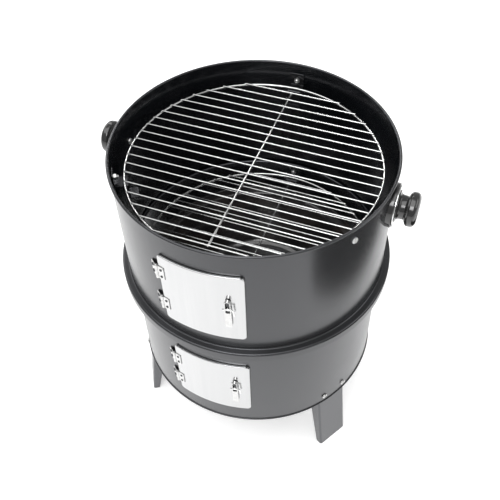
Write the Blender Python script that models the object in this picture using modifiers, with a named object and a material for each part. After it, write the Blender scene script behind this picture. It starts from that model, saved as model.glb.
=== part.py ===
# Vertical water smoker: two stacked steel barrels on three legs, with two
# wire grates, a water bowl, a charcoal bowl, two hinged doors and two knobs.
# Metres, +Z up. The origin is on the floor, under the middle of the barrels.
# The doors face -Y, and an azimuth is counted from there towards +X.

import math

import bmesh
import bpy
from mathutils import Matrix, Vector

# ---- driving dimensions ----
barrel_radius = 0.197        # outside of the upper barrel's wall
lower_step = 0.003           # the lower barrel's wall is this much smaller in radius
wall = 0.0012                # sheet of both barrels
bead_radius = 0.0021         # rolled edges of both barrels
ground_clearance = 0.130     # floor to the lower barrel's edge
lower_height = 0.2095        # lower barrel, bottom edge to top of its bead
upper_height = 0.2002        # upper barrel, shelf underside to top of its rim
skirt_reach = 0.011          # the upper barrel's shelf stands out this far
skirt_drop = 0.015           # and its skirt hangs down this far
skirt_play = 0.0013          # skirt to the lower barrel's bead
corner = 0.003               # bends in the barrels' sheet

door_width = 0.1186          # both doors, measured straight across
upper_door_height = 0.1315
lower_door_height = 0.120
upper_door_rise = 0.028      # shelf to the upper door's lower edge
lower_door_rise = 0.041      # lower barrel's edge to the lower door's lower edge
door_sheet = 0.0012
door_depth = 0.003           # depth of the folded pan that makes a door
door_standoff = 0.001        # wall to the door's folded edge
door_overlap = 0.0068        # door edge past the opening's edge
door_corner = 0.0055
hinge_inset = 0.033          # door's upper or lower edge to the middle of a hinge
hinge_height = 0.025
leaf_width = 0.0095
leaf_sheet = 0.001
knuckle_radius = 0.0023
pin_radius = 0.00105
pin_proud = 0.0009           # hinge axis outside the door's face
leaf_play = 0.0001           # extra room under a flat leaf on the round face
knuckle_play = 0.0002        # half the gap between two knuckles

latch_inset = 0.0213         # door's free edge to the latch spindle
latch_rise = 0.007           # spindle above the door's middle
lever_width = 0.0095         # at its lower end
lever_top_width = 0.0076     # across its round upper end
lever_depth = 0.0048
lever_above = 0.0165         # lever's round end above the spindle
lever_below = 0.0400
lever_sheet = 0.001
lever_lift = 0.0012          # door face to the lever, where the spring sits
spindle_radius = 0.0024
tongue_length = 0.026
tongue_width = 0.009
tongue_sheet = 0.0015
tongue_play = 0.003          # tongue's tip to the wall's inside when it is turned across

grate_edge_play = 0.0115     # lower barrel's inside to the outside of a grate
ring_wire = 0.0018           # wire radii
bar_wire = 0.00125
cross_wire = 0.0016
bar_pitch = 0.0172
bar_overhang = 0.0010        # a bar's end past the middle of the ring
weld_sink = 0.0006           # how far welded wires sink into each other

bracket_width = 0.020
bracket_sheet = 0.002
bracket_tab_rise = 0.009     # tab above its bolt
bracket_bolt_drop = 0.0097   # bolt to the upper ledge
bracket_step = 0.024         # upper ledge to lower ledge
ledge_width = 0.010          # lower ledge
ledge_margin = 0.0034        # upper ledge inwards past the middle of the grate's ring
upper_bolt_drop = 0.025      # rim top to the upper bolts
lower_bolt_drop = 0.0125     # lower barrel's bead top to the lower bolts
support_azimuths = (60.0, 180.0, 300.0)

bolt_radius = 0.0024
bolt_head_radius = 0.0046
bolt_head_height = 0.0026
bolt_play = 0.0003           # shank to the edge of its hole
nut_flats = 0.008
nut_height = 0.0038
thread_end = 0.0028          # thread showing past a nut

bowl_sheet = 0.0012
bowl_rim_play = 0.0008       # bowl rim to the bracket beside it
bowl_rim_width = 0.012
bowl_bead = 0.0016
water_bowl_depth = 0.071
water_bowl_base = 0.104      # radius of its flat bottom
charcoal_bowl_depth = 0.056
charcoal_bowl_base = 0.112
charcoal_rim_play = 0.0018   # charcoal bowl's rim passes inside the lower ledges
ash_hole_radius = 0.006
ash_hole_count = 8

leg_half_width = 0.028
leg_sheet = 0.0016
leg_splay = 0.0148           # how far a foot stands out past the leg's top
leg_flange_top = 0.023       # depth of the side flanges, top and foot
leg_flange_foot = 0.011
leg_inside = 0.042           # length of leg inside the barrel
leg_bend_below = 0.002       # the bend is this far under the barrel's edge
leg_tab_length = 0.037
leg_bolt_spacing = 0.040
leg_bolt_rise = 0.017        # barrel's edge to the leg bolts

knob_drop = 0.0475           # rim top to the knobs' axis
knob_head_radius = 0.024
knob_waist_radius = 0.0165
knob_foot_radius = 0.0225
knob_length = 0.029
base_radius = 0.031
base_depth = 0.0062          # base disc's face out from the wall
shield_radius = 0.0292
shield_sheet = 0.0012
knob_screw_depth = 0.013     # screw into the knob

gap = 0.0003                 # between pieces that touch
hem = 0.0014                 # lower barrel's bottom edge roll

barrel_steps = 48
bowl_steps = 36
ring_steps = 40
knob_steps = 20
bolt_steps = 8

# ---- sizes that follow ----
lower_radius = barrel_radius - lower_step
upper_inside = barrel_radius - wall
lower_inside = lower_radius - wall
base_edge = ground_clearance
seam = ground_clearance + lower_height          # top of the lower barrel's bead
shelf_under = seam + gap
shelf_top = shelf_under + wall
rim_top = shelf_under + upper_height
skirt_radius = barrel_radius + skirt_reach
ring_radius = lower_inside - grate_edge_play - ring_wire
upper_bolt_z = rim_top - upper_bolt_drop
lower_bolt_z = seam - lower_bolt_drop
ledge_end = ring_radius - ledge_margin          # inner face of a bracket's middle
leg_top = base_edge + leg_inside
bowl_rim_radius = ledge_end - bracket_sheet - bowl_rim_play
charcoal_rim_radius = ledge_end - bracket_sheet - ledge_width - charcoal_rim_play
steel_colour = (0.82, 0.82, 0.83, 1.0)

finishes = {
    "black_paint": ((0.035, 0.036, 0.038, 1.0), 0.35, 0.0),
    "black_enamel": ((0.02, 0.02, 0.022, 1.0), 0.12, 0.0),
    "black_plastic": ((0.02, 0.02, 0.02, 1.0), 0.22, 0.0),
    "chrome_wire": (steel_colour, 0.12, 1.0),
    "door_steel": (steel_colour, 0.28, 1.0),
    "zinc": ((0.78, 0.78, 0.76, 1.0), 0.3, 1.0),
}


# ---- helpers ----
def empty_scene():
    for item in list(bpy.data.objects):
        bpy.data.objects.remove(item, do_unlink=True)


def make_collection(name):
    group = bpy.data.collections.new(name)
    bpy.context.scene.collection.children.link(group)
    return group


def finish_material(piece_name, finish):
    colour, roughness, metallic = finishes[finish]
    material = bpy.data.materials.new(piece_name + "_" + finish)
    material.use_nodes = True
    shader = material.node_tree.nodes["Principled BSDF"]
    shader.inputs["Base Color"].default_value = colour
    shader.inputs["Roughness"].default_value = roughness
    shader.inputs["Metallic"].default_value = metallic
    return material


def working_object(name, data):
    """A cutter or a shape on its way to being a piece, kept apart from the pieces."""
    piece = bpy.data.objects.new(name, data)
    bpy.data.collections["cutters"].objects.link(piece)
    piece.hide_render = True
    piece.display_type = "WIRE"
    return piece


def baked_mesh(piece, name, recalculate=True):
    """The piece as the viewport shows it, as a clean mesh in world space."""
    bpy.context.view_layer.update()
    evaluated = piece.evaluated_get(bpy.context.evaluated_depsgraph_get())
    mesh = bpy.data.meshes.new_from_object(evaluated)
    mesh.name = name
    mesh.transform(piece.matrix_world)
    work = bmesh.new()
    work.from_mesh(mesh)
    bmesh.ops.remove_doubles(work, verts=work.verts, dist=2e-6)
    if recalculate:
        bmesh.ops.recalc_face_normals(work, faces=work.faces)
    work.to_mesh(mesh)
    work.free()
    bpy.data.objects.remove(piece, do_unlink=True)
    return mesh


def turned(name, profile, steps):
    """A profile of (radius, height) points turned round Z. It closes on itself or on the axis."""
    closed = profile[0][0] > 0.0 or profile[-1][0] > 0.0
    count = len(profile)
    edges = [(i, i + 1) for i in range(count - 1)]
    if closed:
        edges.append((count - 1, 0))
    mesh = bpy.data.meshes.new(name)
    mesh.from_pydata([(radius, 0.0, height) for radius, height in profile], edges, [])
    piece = working_object(name, mesh)
    screw = piece.modifiers.new("turn", "SCREW")
    screw.steps = steps
    screw.render_steps = steps
    screw.use_merge_vertices = True
    screw.merge_threshold = 1e-6
    return baked_mesh(piece, name)


def prism(name, outline, z_low, z_high):
    """A flat closed outline of (x, y) points, raised from z_low to z_high."""
    curve = bpy.data.curves.new(name, "CURVE")
    curve.dimensions = "2D"
    curve.fill_mode = "BOTH"
    curve.extrude = (z_high - z_low) / 2.0
    spline = curve.splines.new("POLY")
    spline.points.add(len(outline) - 1)
    for point, (x, y) in zip(spline.points, outline):
        point.co = (x, y, 0.0, 1.0)
    spline.use_cyclic_u = True
    piece = working_object(name, curve)
    piece.location.z = (z_low + z_high) / 2.0
    mesh = baked_mesh(piece, name)
    bpy.data.curves.remove(curve)
    return mesh


def cylinder(name, radius, z_low, z_high, steps):
    work = bmesh.new()
    bmesh.ops.create_cone(work, cap_ends=True, segments=steps, radius1=radius, radius2=radius,
                          depth=z_high - z_low)
    bmesh.ops.translate(work, verts=work.verts, vec=(0.0, 0.0, (z_low + z_high) / 2.0))
    mesh = bpy.data.meshes.new(name)
    work.to_mesh(mesh)
    work.free()
    return mesh


def block(name, low, high, rounding=0.0, round_axis=1):
    """A box between two corners, with its edges along one axis rounded."""
    work = bmesh.new()
    bmesh.ops.create_cube(work, size=1.0)
    size = [b - a for a, b in zip(low, high)]
    middle = [(a + b) / 2.0 for a, b in zip(low, high)]
    bmesh.ops.scale(work, verts=work.verts, vec=size)
    bmesh.ops.translate(work, verts=work.verts, vec=middle)
    if rounding > 0.0:
        along = [edge for edge in work.edges
                 if abs((edge.verts[0].co - edge.verts[1].co)[round_axis]) > size[round_axis] / 2.0]
        bmesh.ops.bevel(work, geom=along, offset=rounding, segments=4, affect="EDGES", profile=0.5)
    mesh = bpy.data.meshes.new(name)
    work.to_mesh(mesh)
    work.free()
    return mesh


def moved(mesh, matrix):
    copy = mesh.copy()
    copy.transform(matrix)
    return copy


def combined(name, base, steps):
    """Apply a list of (operation, mesh) Boolean steps to a mesh, one after another."""
    piece = working_object(name, base)
    tools = []
    for operation, tool_mesh in steps:
        tool = working_object(tool_mesh.name, tool_mesh)
        tools.append(tool)
        cut = piece.modifiers.new(operation.lower(), "BOOLEAN")
        cut.operation = operation
        cut.solver = "EXACT"
        cut.object = tool
    mesh = baked_mesh(piece, name, recalculate=False)
    for tool in tools:
        bpy.data.objects.remove(tool, do_unlink=True)
    return mesh


def joined(name, meshes):
    """Separate closed shapes in one mesh, for use as one cutter."""
    work = bmesh.new()
    for mesh in meshes:
        work.from_mesh(mesh)
    result = bpy.data.meshes.new(name)
    work.to_mesh(result)
    work.free()
    return result


def facing(azimuth, out=0.0, z=0.0, side=0.0):
    """Matrix that puts local -Y outwards at an azimuth, with the given offsets."""
    turn = Matrix.Rotation(math.radians(azimuth), 4, "Z")
    return turn @ Matrix.Translation((side, -out, z))


def radial(azimuth, out=0.0, z=0.0, side=0.0):
    """As facing, with local +Z pointing outwards: for bolts and other turned pieces."""
    return facing(azimuth, out, z, side) @ Matrix.Rotation(math.pi / 2.0, 4, "X")


def add_piece(group, name, mesh, finish, matrix=None, parent=None, smooth_angle=35.0):
    piece = bpy.data.objects.new(name, mesh)
    group.objects.link(piece)
    world = matrix if matrix is not None else Matrix.Identity(4)
    if parent is not None:
        piece.parent = parent
        piece.matrix_local = parent.matrix_world.inverted() @ world
    else:
        piece.matrix_world = world
    if not mesh.materials:
        mesh.materials.append(finish_material(name, finish))
        mesh.shade_smooth()
        mesh.set_sharp_from_angle(angle=math.radians(smooth_angle))
    return piece


def add_axis(group, name, matrix, parent=None):
    """An empty on a joint's axis, which the moving pieces hang on."""
    axis = bpy.data.objects.new(name, None)
    group.objects.link(axis)
    axis.empty_display_size = 0.02
    if parent is not None:
        axis.parent = parent
        axis.matrix_local = parent.matrix_world.inverted() @ matrix
    else:
        axis.matrix_world = matrix
    bpy.context.view_layer.update()
    return axis


def arc(centre, radius, start, end, count):
    """Points on an arc, angles in degrees, both ends included."""
    points = []
    for i in range(count):
        angle = math.radians(start + (end - start) * i / (count - 1))
        points.append((centre[0] + radius * math.cos(angle), centre[1] + radius * math.sin(angle)))
    return points


def flat_seat(inside_radius, half_width):
    """How far out a flat piece of this half width can lie inside the faceted wall."""
    apothem = inside_radius * math.cos(math.pi / barrel_steps)
    return math.sqrt(apothem ** 2 - half_width ** 2) - gap


def strip_outline(path, thickness):
    """Outline of a bent strip: its path on one side, and the mitred offset path on the other."""
    other = []
    last = len(path) - 1
    for i, point in enumerate(path):
        here = Vector(point)
        before = (here - Vector(path[i - 1])).normalized() if i > 0 else None
        after = (Vector(path[i + 1]) - here).normalized() if i < last else None
        if before is None:
            before = after
        if after is None:
            after = before
        normal_a = Vector((-before.y, before.x))
        normal_b = Vector((-after.y, after.x))
        mitre = (normal_a + normal_b).normalized()
        other.append(here + mitre * (thickness / mitre.dot(normal_a)))
    return list(path) + [(p.x, p.y) for p in reversed(other)]


# ---- barrels ----
def opening_cutter(name, radius, z_low, z_high):
    half = door_width / 2.0 - door_overlap
    return block(name, (-half, -radius - 0.02, z_low + door_overlap),
                 (half, -radius + 0.05, z_high - door_overlap), rounding=door_corner)


def bolt_hole(radius, azimuth, z, side=0.0):
    hole = cylinder("hole", bolt_radius + bolt_play, -0.02, 0.02, bolt_steps)
    return moved(hole, radial(azimuth, radius, z, side))


def upper_barrel_profile():
    bead = arc((upper_inside + bead_radius, rim_top - bead_radius), bead_radius, 180.0, -90.0, 7)
    wall_top = (barrel_radius, rim_top - 2.0 * bead_radius - 0.0003)
    fillet = arc((barrel_radius + corner, shelf_top + corner), corner, 180.0, 270.0, 3)
    edge = arc((skirt_radius - corner, shelf_top - corner), corner, 90.0, 0.0, 3)
    skirt_low = shelf_top - skirt_drop
    inner = skirt_radius - wall
    inner_edge = arc((skirt_radius - corner, shelf_top - corner), corner - wall, 0.0, 90.0, 2)
    inner_fillet = arc((barrel_radius + corner, shelf_top + corner), corner + wall, 270.0, 180.0, 3)
    return (bead + [wall_top] + fillet + edge + [(skirt_radius, skirt_low), (inner, skirt_low)]
            + inner_edge + inner_fillet)


def lower_barrel_profile():
    bead_out = skirt_radius - wall - skirt_play
    centre = (bead_out - bead_radius, seam - bead_radius)
    bead = arc(centre, bead_radius, 190.0, -130.0, 7)
    under = centre[1] - bead_radius * math.sin(math.radians(50.0))
    fillet = arc((lower_radius + corner, under - corner), corner, 90.0, 180.0, 3)
    hem_top = (lower_radius, base_edge + 0.0042)
    hem_out = [(lower_radius + hem, base_edge + 0.003), (lower_radius + hem, base_edge + 0.001),
               (lower_radius + 0.0004, base_edge), (lower_inside, base_edge)]
    top = centre[1] + bead_radius * math.sin(math.radians(190.0))
    inner_fillet = arc((lower_inside + corner, top - corner), corner, 180.0, 90.0, 3)
    return bead + fillet + [hem_top] + hem_out + inner_fillet


def door_span(barrel):
    """Lower and upper edge of a barrel's door."""
    if barrel == "upper":
        low = shelf_top + upper_door_rise
        return low, low + upper_door_height
    low = base_edge + lower_door_rise
    return low, low + lower_door_height


def knob_height():
    return rim_top - knob_drop


def make_upper_barrel(group):
    shell = turned("upper_shell", upper_barrel_profile(), barrel_steps)
    cuts = [bolt_hole(barrel_radius, azimuth, upper_bolt_z) for azimuth in support_azimuths]
    cuts += [bolt_hole(barrel_radius, azimuth, knob_height()) for azimuth in (90.0, 270.0)]
    cuts.append(opening_cutter("opening", barrel_radius, *door_span("upper")))
    mesh = combined("upper_barrel", shell, [("DIFFERENCE", joined("cuts", cuts))])
    return add_piece(group, "upper_barrel", mesh, "black_paint")


def make_lower_barrel(group):
    shell = turned("lower_shell", lower_barrel_profile(), barrel_steps)
    cuts = [bolt_hole(lower_radius, azimuth, lower_bolt_z) for azimuth in support_azimuths]
    for azimuth in support_azimuths:
        for side in (-1.0, 1.0):
            cuts.append(bolt_hole(lower_radius, azimuth, base_edge + leg_bolt_rise,
                                  side * leg_bolt_spacing / 2.0))
    cuts.append(opening_cutter("opening", lower_radius, *door_span("lower")))
    mesh = combined("lower_barrel", shell, [("DIFFERENCE", joined("cuts", cuts))])
    return add_piece(group, "lower_barrel", mesh, "black_paint")


# ---- grates and bowls ----
def grate_mesh():
    """A welded grate lying on z = 0, with the ring's underside there."""
    turn = arc((ring_radius, ring_wire), ring_wire, 90.0, -198.0, 5)
    ring = turned("ring", turn, ring_steps)
    bar_z = 2.0 * ring_wire + bar_wire - weld_sink
    half_count = int((ring_radius - 0.010) / bar_pitch + 0.5)
    bars = []
    for i in range(-half_count, half_count):
        y = (i + 0.5) * bar_pitch
        half = math.sqrt((ring_radius + bar_overhang) ** 2 - y ** 2)
        rod = cylinder("bar", bar_wire, -half, half, 6)
        bars.append(moved(rod, Matrix.Translation((0.0, y, bar_z)) @ Matrix.Rotation(math.pi / 2.0, 4, "Y")))
    reach = (half_count - 0.5) * bar_pitch + bar_wire
    cross = cylinder("cross", cross_wire, -reach, reach, 6)
    cross_z = bar_z - bar_wire - cross_wire + weld_sink
    cross = moved(cross, Matrix.Translation((0.0, 0.0, cross_z)) @ Matrix.Rotation(math.pi / 2.0, 4, "X"))
    return combined("grate", ring, [("UNION", joined("bars", bars)), ("UNION", cross)])


def bowl_mesh(name, rim_radius, floor_radius, depth):
    """A round bowl with a flat rim, rolled at its edge: z = 0 is the rim's underside."""
    sheet = bowl_sheet
    roll = bowl_bead
    body = rim_radius - bowl_rim_width
    inside = [(0.0, sheet - depth), (floor_radius - 0.006, sheet - depth), (floor_radius + 0.0035, 0.003 - depth),
              (floor_radius + 0.0108, 0.0092 - depth), (body - 0.0053, -0.006), (body - 0.0013, sheet)]
    edge = [(rim_radius - 2.0 * roll, sheet), (rim_radius - 1.4 * roll, 1.8 * roll),
            (rim_radius - 0.5 * roll, 2.0 * roll), (rim_radius, 1.3 * roll), (rim_radius, 0.5 * roll),
            (rim_radius - 0.4 * roll, 0.0)]
    outside = [(body, 0.0), (body - 0.004, -0.006), (floor_radius + 0.012, 0.008 - depth),
               (floor_radius + 0.004, 0.0016 - depth), (floor_radius - 0.006, -depth), (0.0, -depth)]
    return turned(name, inside + edge + outside, bowl_steps)


def make_water_bowl(group):
    mesh = bowl_mesh("water_bowl", bowl_rim_radius, water_bowl_base, water_bowl_depth)
    z = lower_bolt_z - bracket_bolt_drop - bracket_step + gap
    return add_piece(group, "water_bowl", mesh, "black_enamel", Matrix.Translation((0.0, 0.0, z)))


def make_charcoal_bowl(group):
    bowl = bowl_mesh("charcoal", charcoal_rim_radius, charcoal_bowl_base, charcoal_bowl_depth)
    holes = [cylinder("ash", ash_hole_radius, -charcoal_bowl_depth - 0.01,
                      -charcoal_bowl_depth + 0.01, 8)]
    for i in range(ash_hole_count):
        angle = 2.0 * math.pi * i / ash_hole_count
        spot = (0.6 * charcoal_bowl_base * math.cos(angle), 0.6 * charcoal_bowl_base * math.sin(angle), 0.0)
        holes.append(moved(holes[0], Matrix.Translation(spot)))
    mesh = combined("charcoal_bowl", bowl, [("DIFFERENCE", joined("ash_holes", holes))])
    return add_piece(group, "charcoal_bowl", mesh, "black_enamel",
                     Matrix.Translation((0.0, 0.0, leg_top + gap)))


def make_grates(group):
    mesh = grate_mesh()
    for name, bolt_z in (("top_grate", upper_bolt_z), ("lower_grate", lower_bolt_z)):
        z = bolt_z - bracket_bolt_drop + gap
        add_piece(group, name, mesh, "chrome_wire", Matrix.Translation((0.0, 0.0, z)))


# ---- brackets, bolts and nuts ----
def bracket_mesh(name, inside_radius):
    """Stepped strip at azimuth 0, with z = 0 at its bolt: (outward, up) outline, raised sideways."""
    tab = flat_seat(inside_radius, bracket_width / 2.0)
    ledge = -bracket_bolt_drop
    low_ledge = ledge - bracket_step
    middle = ledge_end
    path = [(tab, bracket_tab_rise), (tab, ledge - bracket_sheet), (middle, ledge - bracket_sheet),
            (middle, low_ledge - bracket_sheet), (middle - bracket_sheet - ledge_width, low_ledge - bracket_sheet)]
    outline = strip_outline(path, -bracket_sheet)
    half = bracket_width / 2.0
    strip = prism(name, outline, -half, half)
    # outline x becomes outwards (-Y), outline y becomes +Z, the raise becomes sideways
    turn = Matrix(((0, 0, 1, 0), (-1, 0, 0, 0), (0, 1, 0, 0), (0, 0, 0, 1)))
    strip.transform(turn)
    if turn.determinant() < 0.0:
        strip.flip_normals()
    return combined(name, strip, [("DIFFERENCE", bolt_hole(inside_radius, 0.0, 0.0))])


def bolt_mesh(name, length):
    """Round-headed bolt: z = 0 is under the head, the shank runs down."""
    radius, height = bolt_head_radius, bolt_head_height
    profile = [(0.0, height), (0.6 * radius, 0.88 * height), (0.93 * radius, 0.45 * height),
               (radius, 0.0), (bolt_radius, 0.0), (bolt_radius, -length + 0.0006),
               (bolt_radius - 0.0005, -length), (0.0, -length)]
    return turned(name, profile, bolt_steps)


def nut_mesh():
    outer = [(nut_flats / math.sqrt(3.0) * math.cos(math.radians(60.0 * i)),
              nut_flats / math.sqrt(3.0) * math.sin(math.radians(60.0 * i))) for i in range(6)]
    body = prism("nut", outer, -nut_height, 0.0)
    hole = cylinder("nut_hole", bolt_radius + bolt_play, -nut_height - 0.001, 0.001, bolt_steps)
    return combined("nut", body, [("DIFFERENCE", hole)])


def make_supports(group, barrel, outside_radius, inside_radius, z):
    seat = flat_seat(inside_radius, bracket_width / 2.0)
    nut_out = seat - bracket_sheet - gap
    bolt_out = outside_radius + gap
    bracket = bracket_mesh(barrel + "_bracket", inside_radius)
    bolt = bolt_mesh(barrel + "_bracket_bolt", bolt_out - nut_out + nut_height + thread_end)
    nut = nut_mesh()
    for i, azimuth in enumerate(support_azimuths, start=1):
        add_piece(group, f"{barrel}_bracket_{i}", bracket, "black_paint", facing(azimuth, 0.0, z))
        add_piece(group, f"{barrel}_bracket_bolt_{i}", bolt, "zinc", radial(azimuth, bolt_out, z))
        add_piece(group, f"{barrel}_bracket_nut_{i}", nut, "zinc", radial(azimuth, nut_out, z))


# ---- legs ----
def leg_section(face, flange_end, z):
    """One level of the channel: face and flange ends as distances out from the barrel's axis."""
    w, t = leg_half_width, leg_sheet
    plan = [(-w, face), (w, face), (w, flange_end), (w - t, flange_end), (w - t, face - t),
            (-w + t, face - t), (-w + t, flange_end), (-w, flange_end)]
    return [(side, -out, z) for side, out in plan]


def loft(name, sections):
    """A closed solid through sections of equal point count, with a cap at each end."""
    work = bmesh.new()
    rows = [[work.verts.new(point) for point in section] for section in sections]
    for low, high in zip(rows, rows[1:]):
        for i in range(len(low)):
            j = (i + 1) % len(low)
            work.faces.new((low[i], low[j], high[j], high[i]))
    work.faces.new(rows[0])
    work.faces.new(list(reversed(rows[-1])))
    bmesh.ops.recalc_face_normals(work, faces=work.faces)
    mesh = bpy.data.meshes.new(name)
    work.to_mesh(mesh)
    work.free()
    return mesh


def make_legs(group):
    face = flat_seat(lower_inside, leg_half_width)
    flange = face - leg_flange_top
    foot = face + leg_splay
    channel = loft("leg", [leg_section(foot, foot - leg_flange_foot, 0.0),
                           leg_section(face, flange, base_edge - leg_bend_below),
                           leg_section(face, flange, leg_top)])
    half = leg_half_width - leg_sheet - 0.002
    tab = block("tab", (-half, -(face - leg_sheet / 2.0), leg_top - leg_sheet),
                (half, -(face - leg_tab_length), leg_top))
    bolt_z = base_edge + leg_bolt_rise
    sides = (-leg_bolt_spacing / 2.0, leg_bolt_spacing / 2.0)
    holes = joined("leg_holes", [bolt_hole(lower_radius, 0.0, bolt_z, side) for side in sides])
    mesh = combined("leg", channel, [("UNION", tab), ("DIFFERENCE", holes)])
    near = leg_bolt_spacing / 2.0 - bolt_head_radius
    bolt_out = math.sqrt(lower_radius ** 2 - near ** 2) + gap
    bolt = bolt_mesh("leg_bolt", bolt_out - face + leg_sheet + nut_height + thread_end)
    for i, azimuth in enumerate(support_azimuths, start=1):
        add_piece(group, f"leg_{i}", mesh, "black_paint", facing(azimuth))
        for letter, side in zip("ab", sides):
            add_piece(group, f"leg_{i}_bolt_{letter}", bolt, "zinc", radial(azimuth, bolt_out, bolt_z, side))


# ---- knobs ----
def make_knobs(group):
    z = knob_height()
    base_face = barrel_radius + base_depth
    shield_out = base_face + gap
    knob_out = shield_out + shield_sheet + gap
    disc_low = -(base_depth + fall(base_radius) + 0.001)
    hole_radius = bolt_radius + bolt_play
    base = turned("knob_base", [(0.0, 0.0), (base_radius - 0.002, 0.0), (base_radius, -0.002),
                                (base_radius, disc_low), (0.0, disc_low)], knob_steps)
    barrel = cylinder("barrel_tool", barrel_radius + gap, -0.1, 0.1, barrel_steps)
    # in the disc's own frame the barrel's axis runs along Y, base_face below the face
    barrel = moved(barrel, Matrix.Translation((0.0, 0.0, -base_face)) @ Matrix.Rotation(math.pi / 2.0, 4, "X"))
    hole = cylinder("base_hole", hole_radius, -0.03, 0.01, bolt_steps)
    base = combined("knob_base", base, [("DIFFERENCE", barrel), ("DIFFERENCE", hole)])
    shield = turned("knob_shield", [(hole_radius, shield_sheet), (shield_radius - 0.0006, shield_sheet),
                                    (shield_radius, shield_sheet / 2.0), (shield_radius - 0.0006, 0.0),
                                    (hole_radius, 0.0)], knob_steps)
    head, waist, foot, length = knob_head_radius, knob_waist_radius, knob_foot_radius, knob_length
    flare = 0.72 * waist + 0.28 * foot
    knob = turned("knob", [(0.0, length), (0.70 * head, 0.975 * length), (0.88 * head, 0.91 * length),
                           (0.98 * head, 0.80 * length), (head, 0.66 * length), (0.97 * head, 0.54 * length),
                           (0.90 * head, 0.47 * length), (waist, 0.36 * length), (waist, 0.27 * length),
                           (flare, 0.13 * length), (foot, 0.035 * length), (foot, 0.0), (hole_radius, 0.0),
                           (hole_radius, knob_screw_depth + 0.001), (0.0, knob_screw_depth + 0.001)], knob_steps)
    screw_in = upper_inside - gap - wall / 2.0
    screw = bolt_mesh("knob_screw", knob_out + knob_screw_depth - screw_in)
    for side, azimuth in (("right", 90.0), ("left", 270.0)):
        add_piece(group, side + "_knob_base", base, "black_plastic", radial(azimuth, base_face, z))
        add_piece(group, side + "_knob_shield", shield, "chrome_wire", radial(azimuth, shield_out, z))
        add_piece(group, side + "_knob", knob, "black_plastic", radial(azimuth, knob_out, z))
        inwards = radial(azimuth, screw_in, z) @ Matrix.Rotation(math.pi, 4, "X")
        add_piece(group, side + "_knob_screw", screw, "zinc", inwards)


# ---- doors, hinges and latches ----
def door_blank(name, inner_radius, outer_radius, half_width, z_low, z_high, rounding):
    """A curved plate: a cylinder shell cut to a rounded window at azimuth 0."""
    shell = turned(name, [(inner_radius, z_high + 0.01), (outer_radius, z_high + 0.01),
                          (outer_radius, z_low - 0.01), (inner_radius, z_low - 0.01)], barrel_steps)
    window = block("window", (-half_width, -outer_radius - 0.02, z_low),
                   (half_width, -inner_radius + 0.05, z_high), rounding=rounding)
    return combined(name, shell, [("INTERSECT", window)])


def hinge_leaves():
    """Both leaves round the pin's axis at the origin, local -Y outwards, +X towards the door."""
    half = hinge_height / 2.0
    third = hinge_height / 6.0
    near = 0.0006
    far = knuckle_radius + gap + leaf_width
    room = knuckle_radius + gap
    to_wall = pin_proud + door_depth + door_standoff
    hole = cylinder("pin_hole", pin_radius + gap, -half - 0.002, half + 0.002, bolt_steps)

    def knuckle(z_low, z_high):
        return cylinder("knuckle", knuckle_radius, z_low, z_high, 10)

    def clear_band(x_low, x_high, z_low, z_high):
        return block("band", (x_low, -0.01, z_low), (x_high, 0.01, z_high))

    # the door's leaf lies on its face, the wall's leaf slopes down from the pin to the wall
    lift = pin_proud - gap - leaf_play
    on_door = strip_outline([(far, lift + fall(far)), (near, lift)], leaf_sheet)
    on_wall = strip_outline([(-near, 0.0), (-far, to_wall + fall(far) - gap - leaf_play)], leaf_sheet)
    inner = third + knuckle_play
    middle = third - knuckle_play
    ends = [clear_band(-0.01, room, -half - 0.002, -middle), clear_band(-0.01, room, middle, half + 0.002)]
    knuckles = [knuckle(-half, -inner), knuckle(inner, half)]
    door_leaf = combined("door_leaf", prism("on_door", on_door, -half, half),
                         [("DIFFERENCE", joined("ends", ends)), ("UNION", knuckle(-middle, middle)),
                          ("DIFFERENCE", hole)])
    wall_leaf = combined("wall_leaf", prism("on_wall", on_wall, -half, half),
                         [("DIFFERENCE", clear_band(-room, 0.01, -inner, inner)),
                          ("UNION", joined("knuckles", knuckles)), ("DIFFERENCE", hole.copy())])
    pin = turned("hinge_pin", [(0.0, half + 0.0012), (0.0013, half + 0.001), (0.0019, half + gap),
                               (pin_radius, half + gap), (pin_radius, -half - 0.001), (0.0, -half - 0.001)],
                 bolt_steps)
    return door_leaf, wall_leaf, pin


def fall(side):
    """How far a barrel's round face falls away from its tangent at this distance to the side."""
    return barrel_radius - math.sqrt(barrel_radius ** 2 - side ** 2)


def lever_mesh():
    """Folded lever: z up from the spindle, y = 0 at its back, open outwards (-Y)."""
    half, top = lever_width / 2.0, lever_top_width / 2.0
    centre = (0.0, lever_above - top)
    outer = arc(centre, top, 0.0, 180.0, 7) + [(-half, -lever_below), (half, -lever_below)]
    inner_half = half - lever_sheet
    inner = arc(centre, top - lever_sheet, 0.0, 180.0, 7) \
        + [(-inner_half, -lever_below - 0.001), (inner_half, -lever_below - 0.001)]
    body = prism("lever", outer, 0.0, lever_depth)
    pocket = prism("pocket", inner, lever_sheet, lever_depth + 0.001)
    upright = Matrix.Rotation(math.pi / 2.0, 4, "X")
    hole = cylinder("lever_hole", spindle_radius + gap, -0.01, 0.01, bolt_steps)
    mesh = combined("lever", body, [("DIFFERENCE", pocket), ("DIFFERENCE", hole)])
    mesh.transform(upright)
    return mesh


def spindle_mesh(inner_end, outer_end, tongue_face):
    """Spindle along +Z (outwards) with its locking tongue hanging down: local +Y is up."""
    shaft = cylinder("shaft", spindle_radius, inner_end, outer_end, bolt_steps)
    half = tongue_width / 2.0
    outline = arc((0.0, 0.0), half, 0.0, 180.0, 5) \
        + arc((0.0, -tongue_length + half), half, 180.0, 360.0, 5)
    tongue = prism("tongue", outline, tongue_face - tongue_sheet, tongue_face)
    return combined("spindle", shaft, [("UNION", tongue)])


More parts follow.
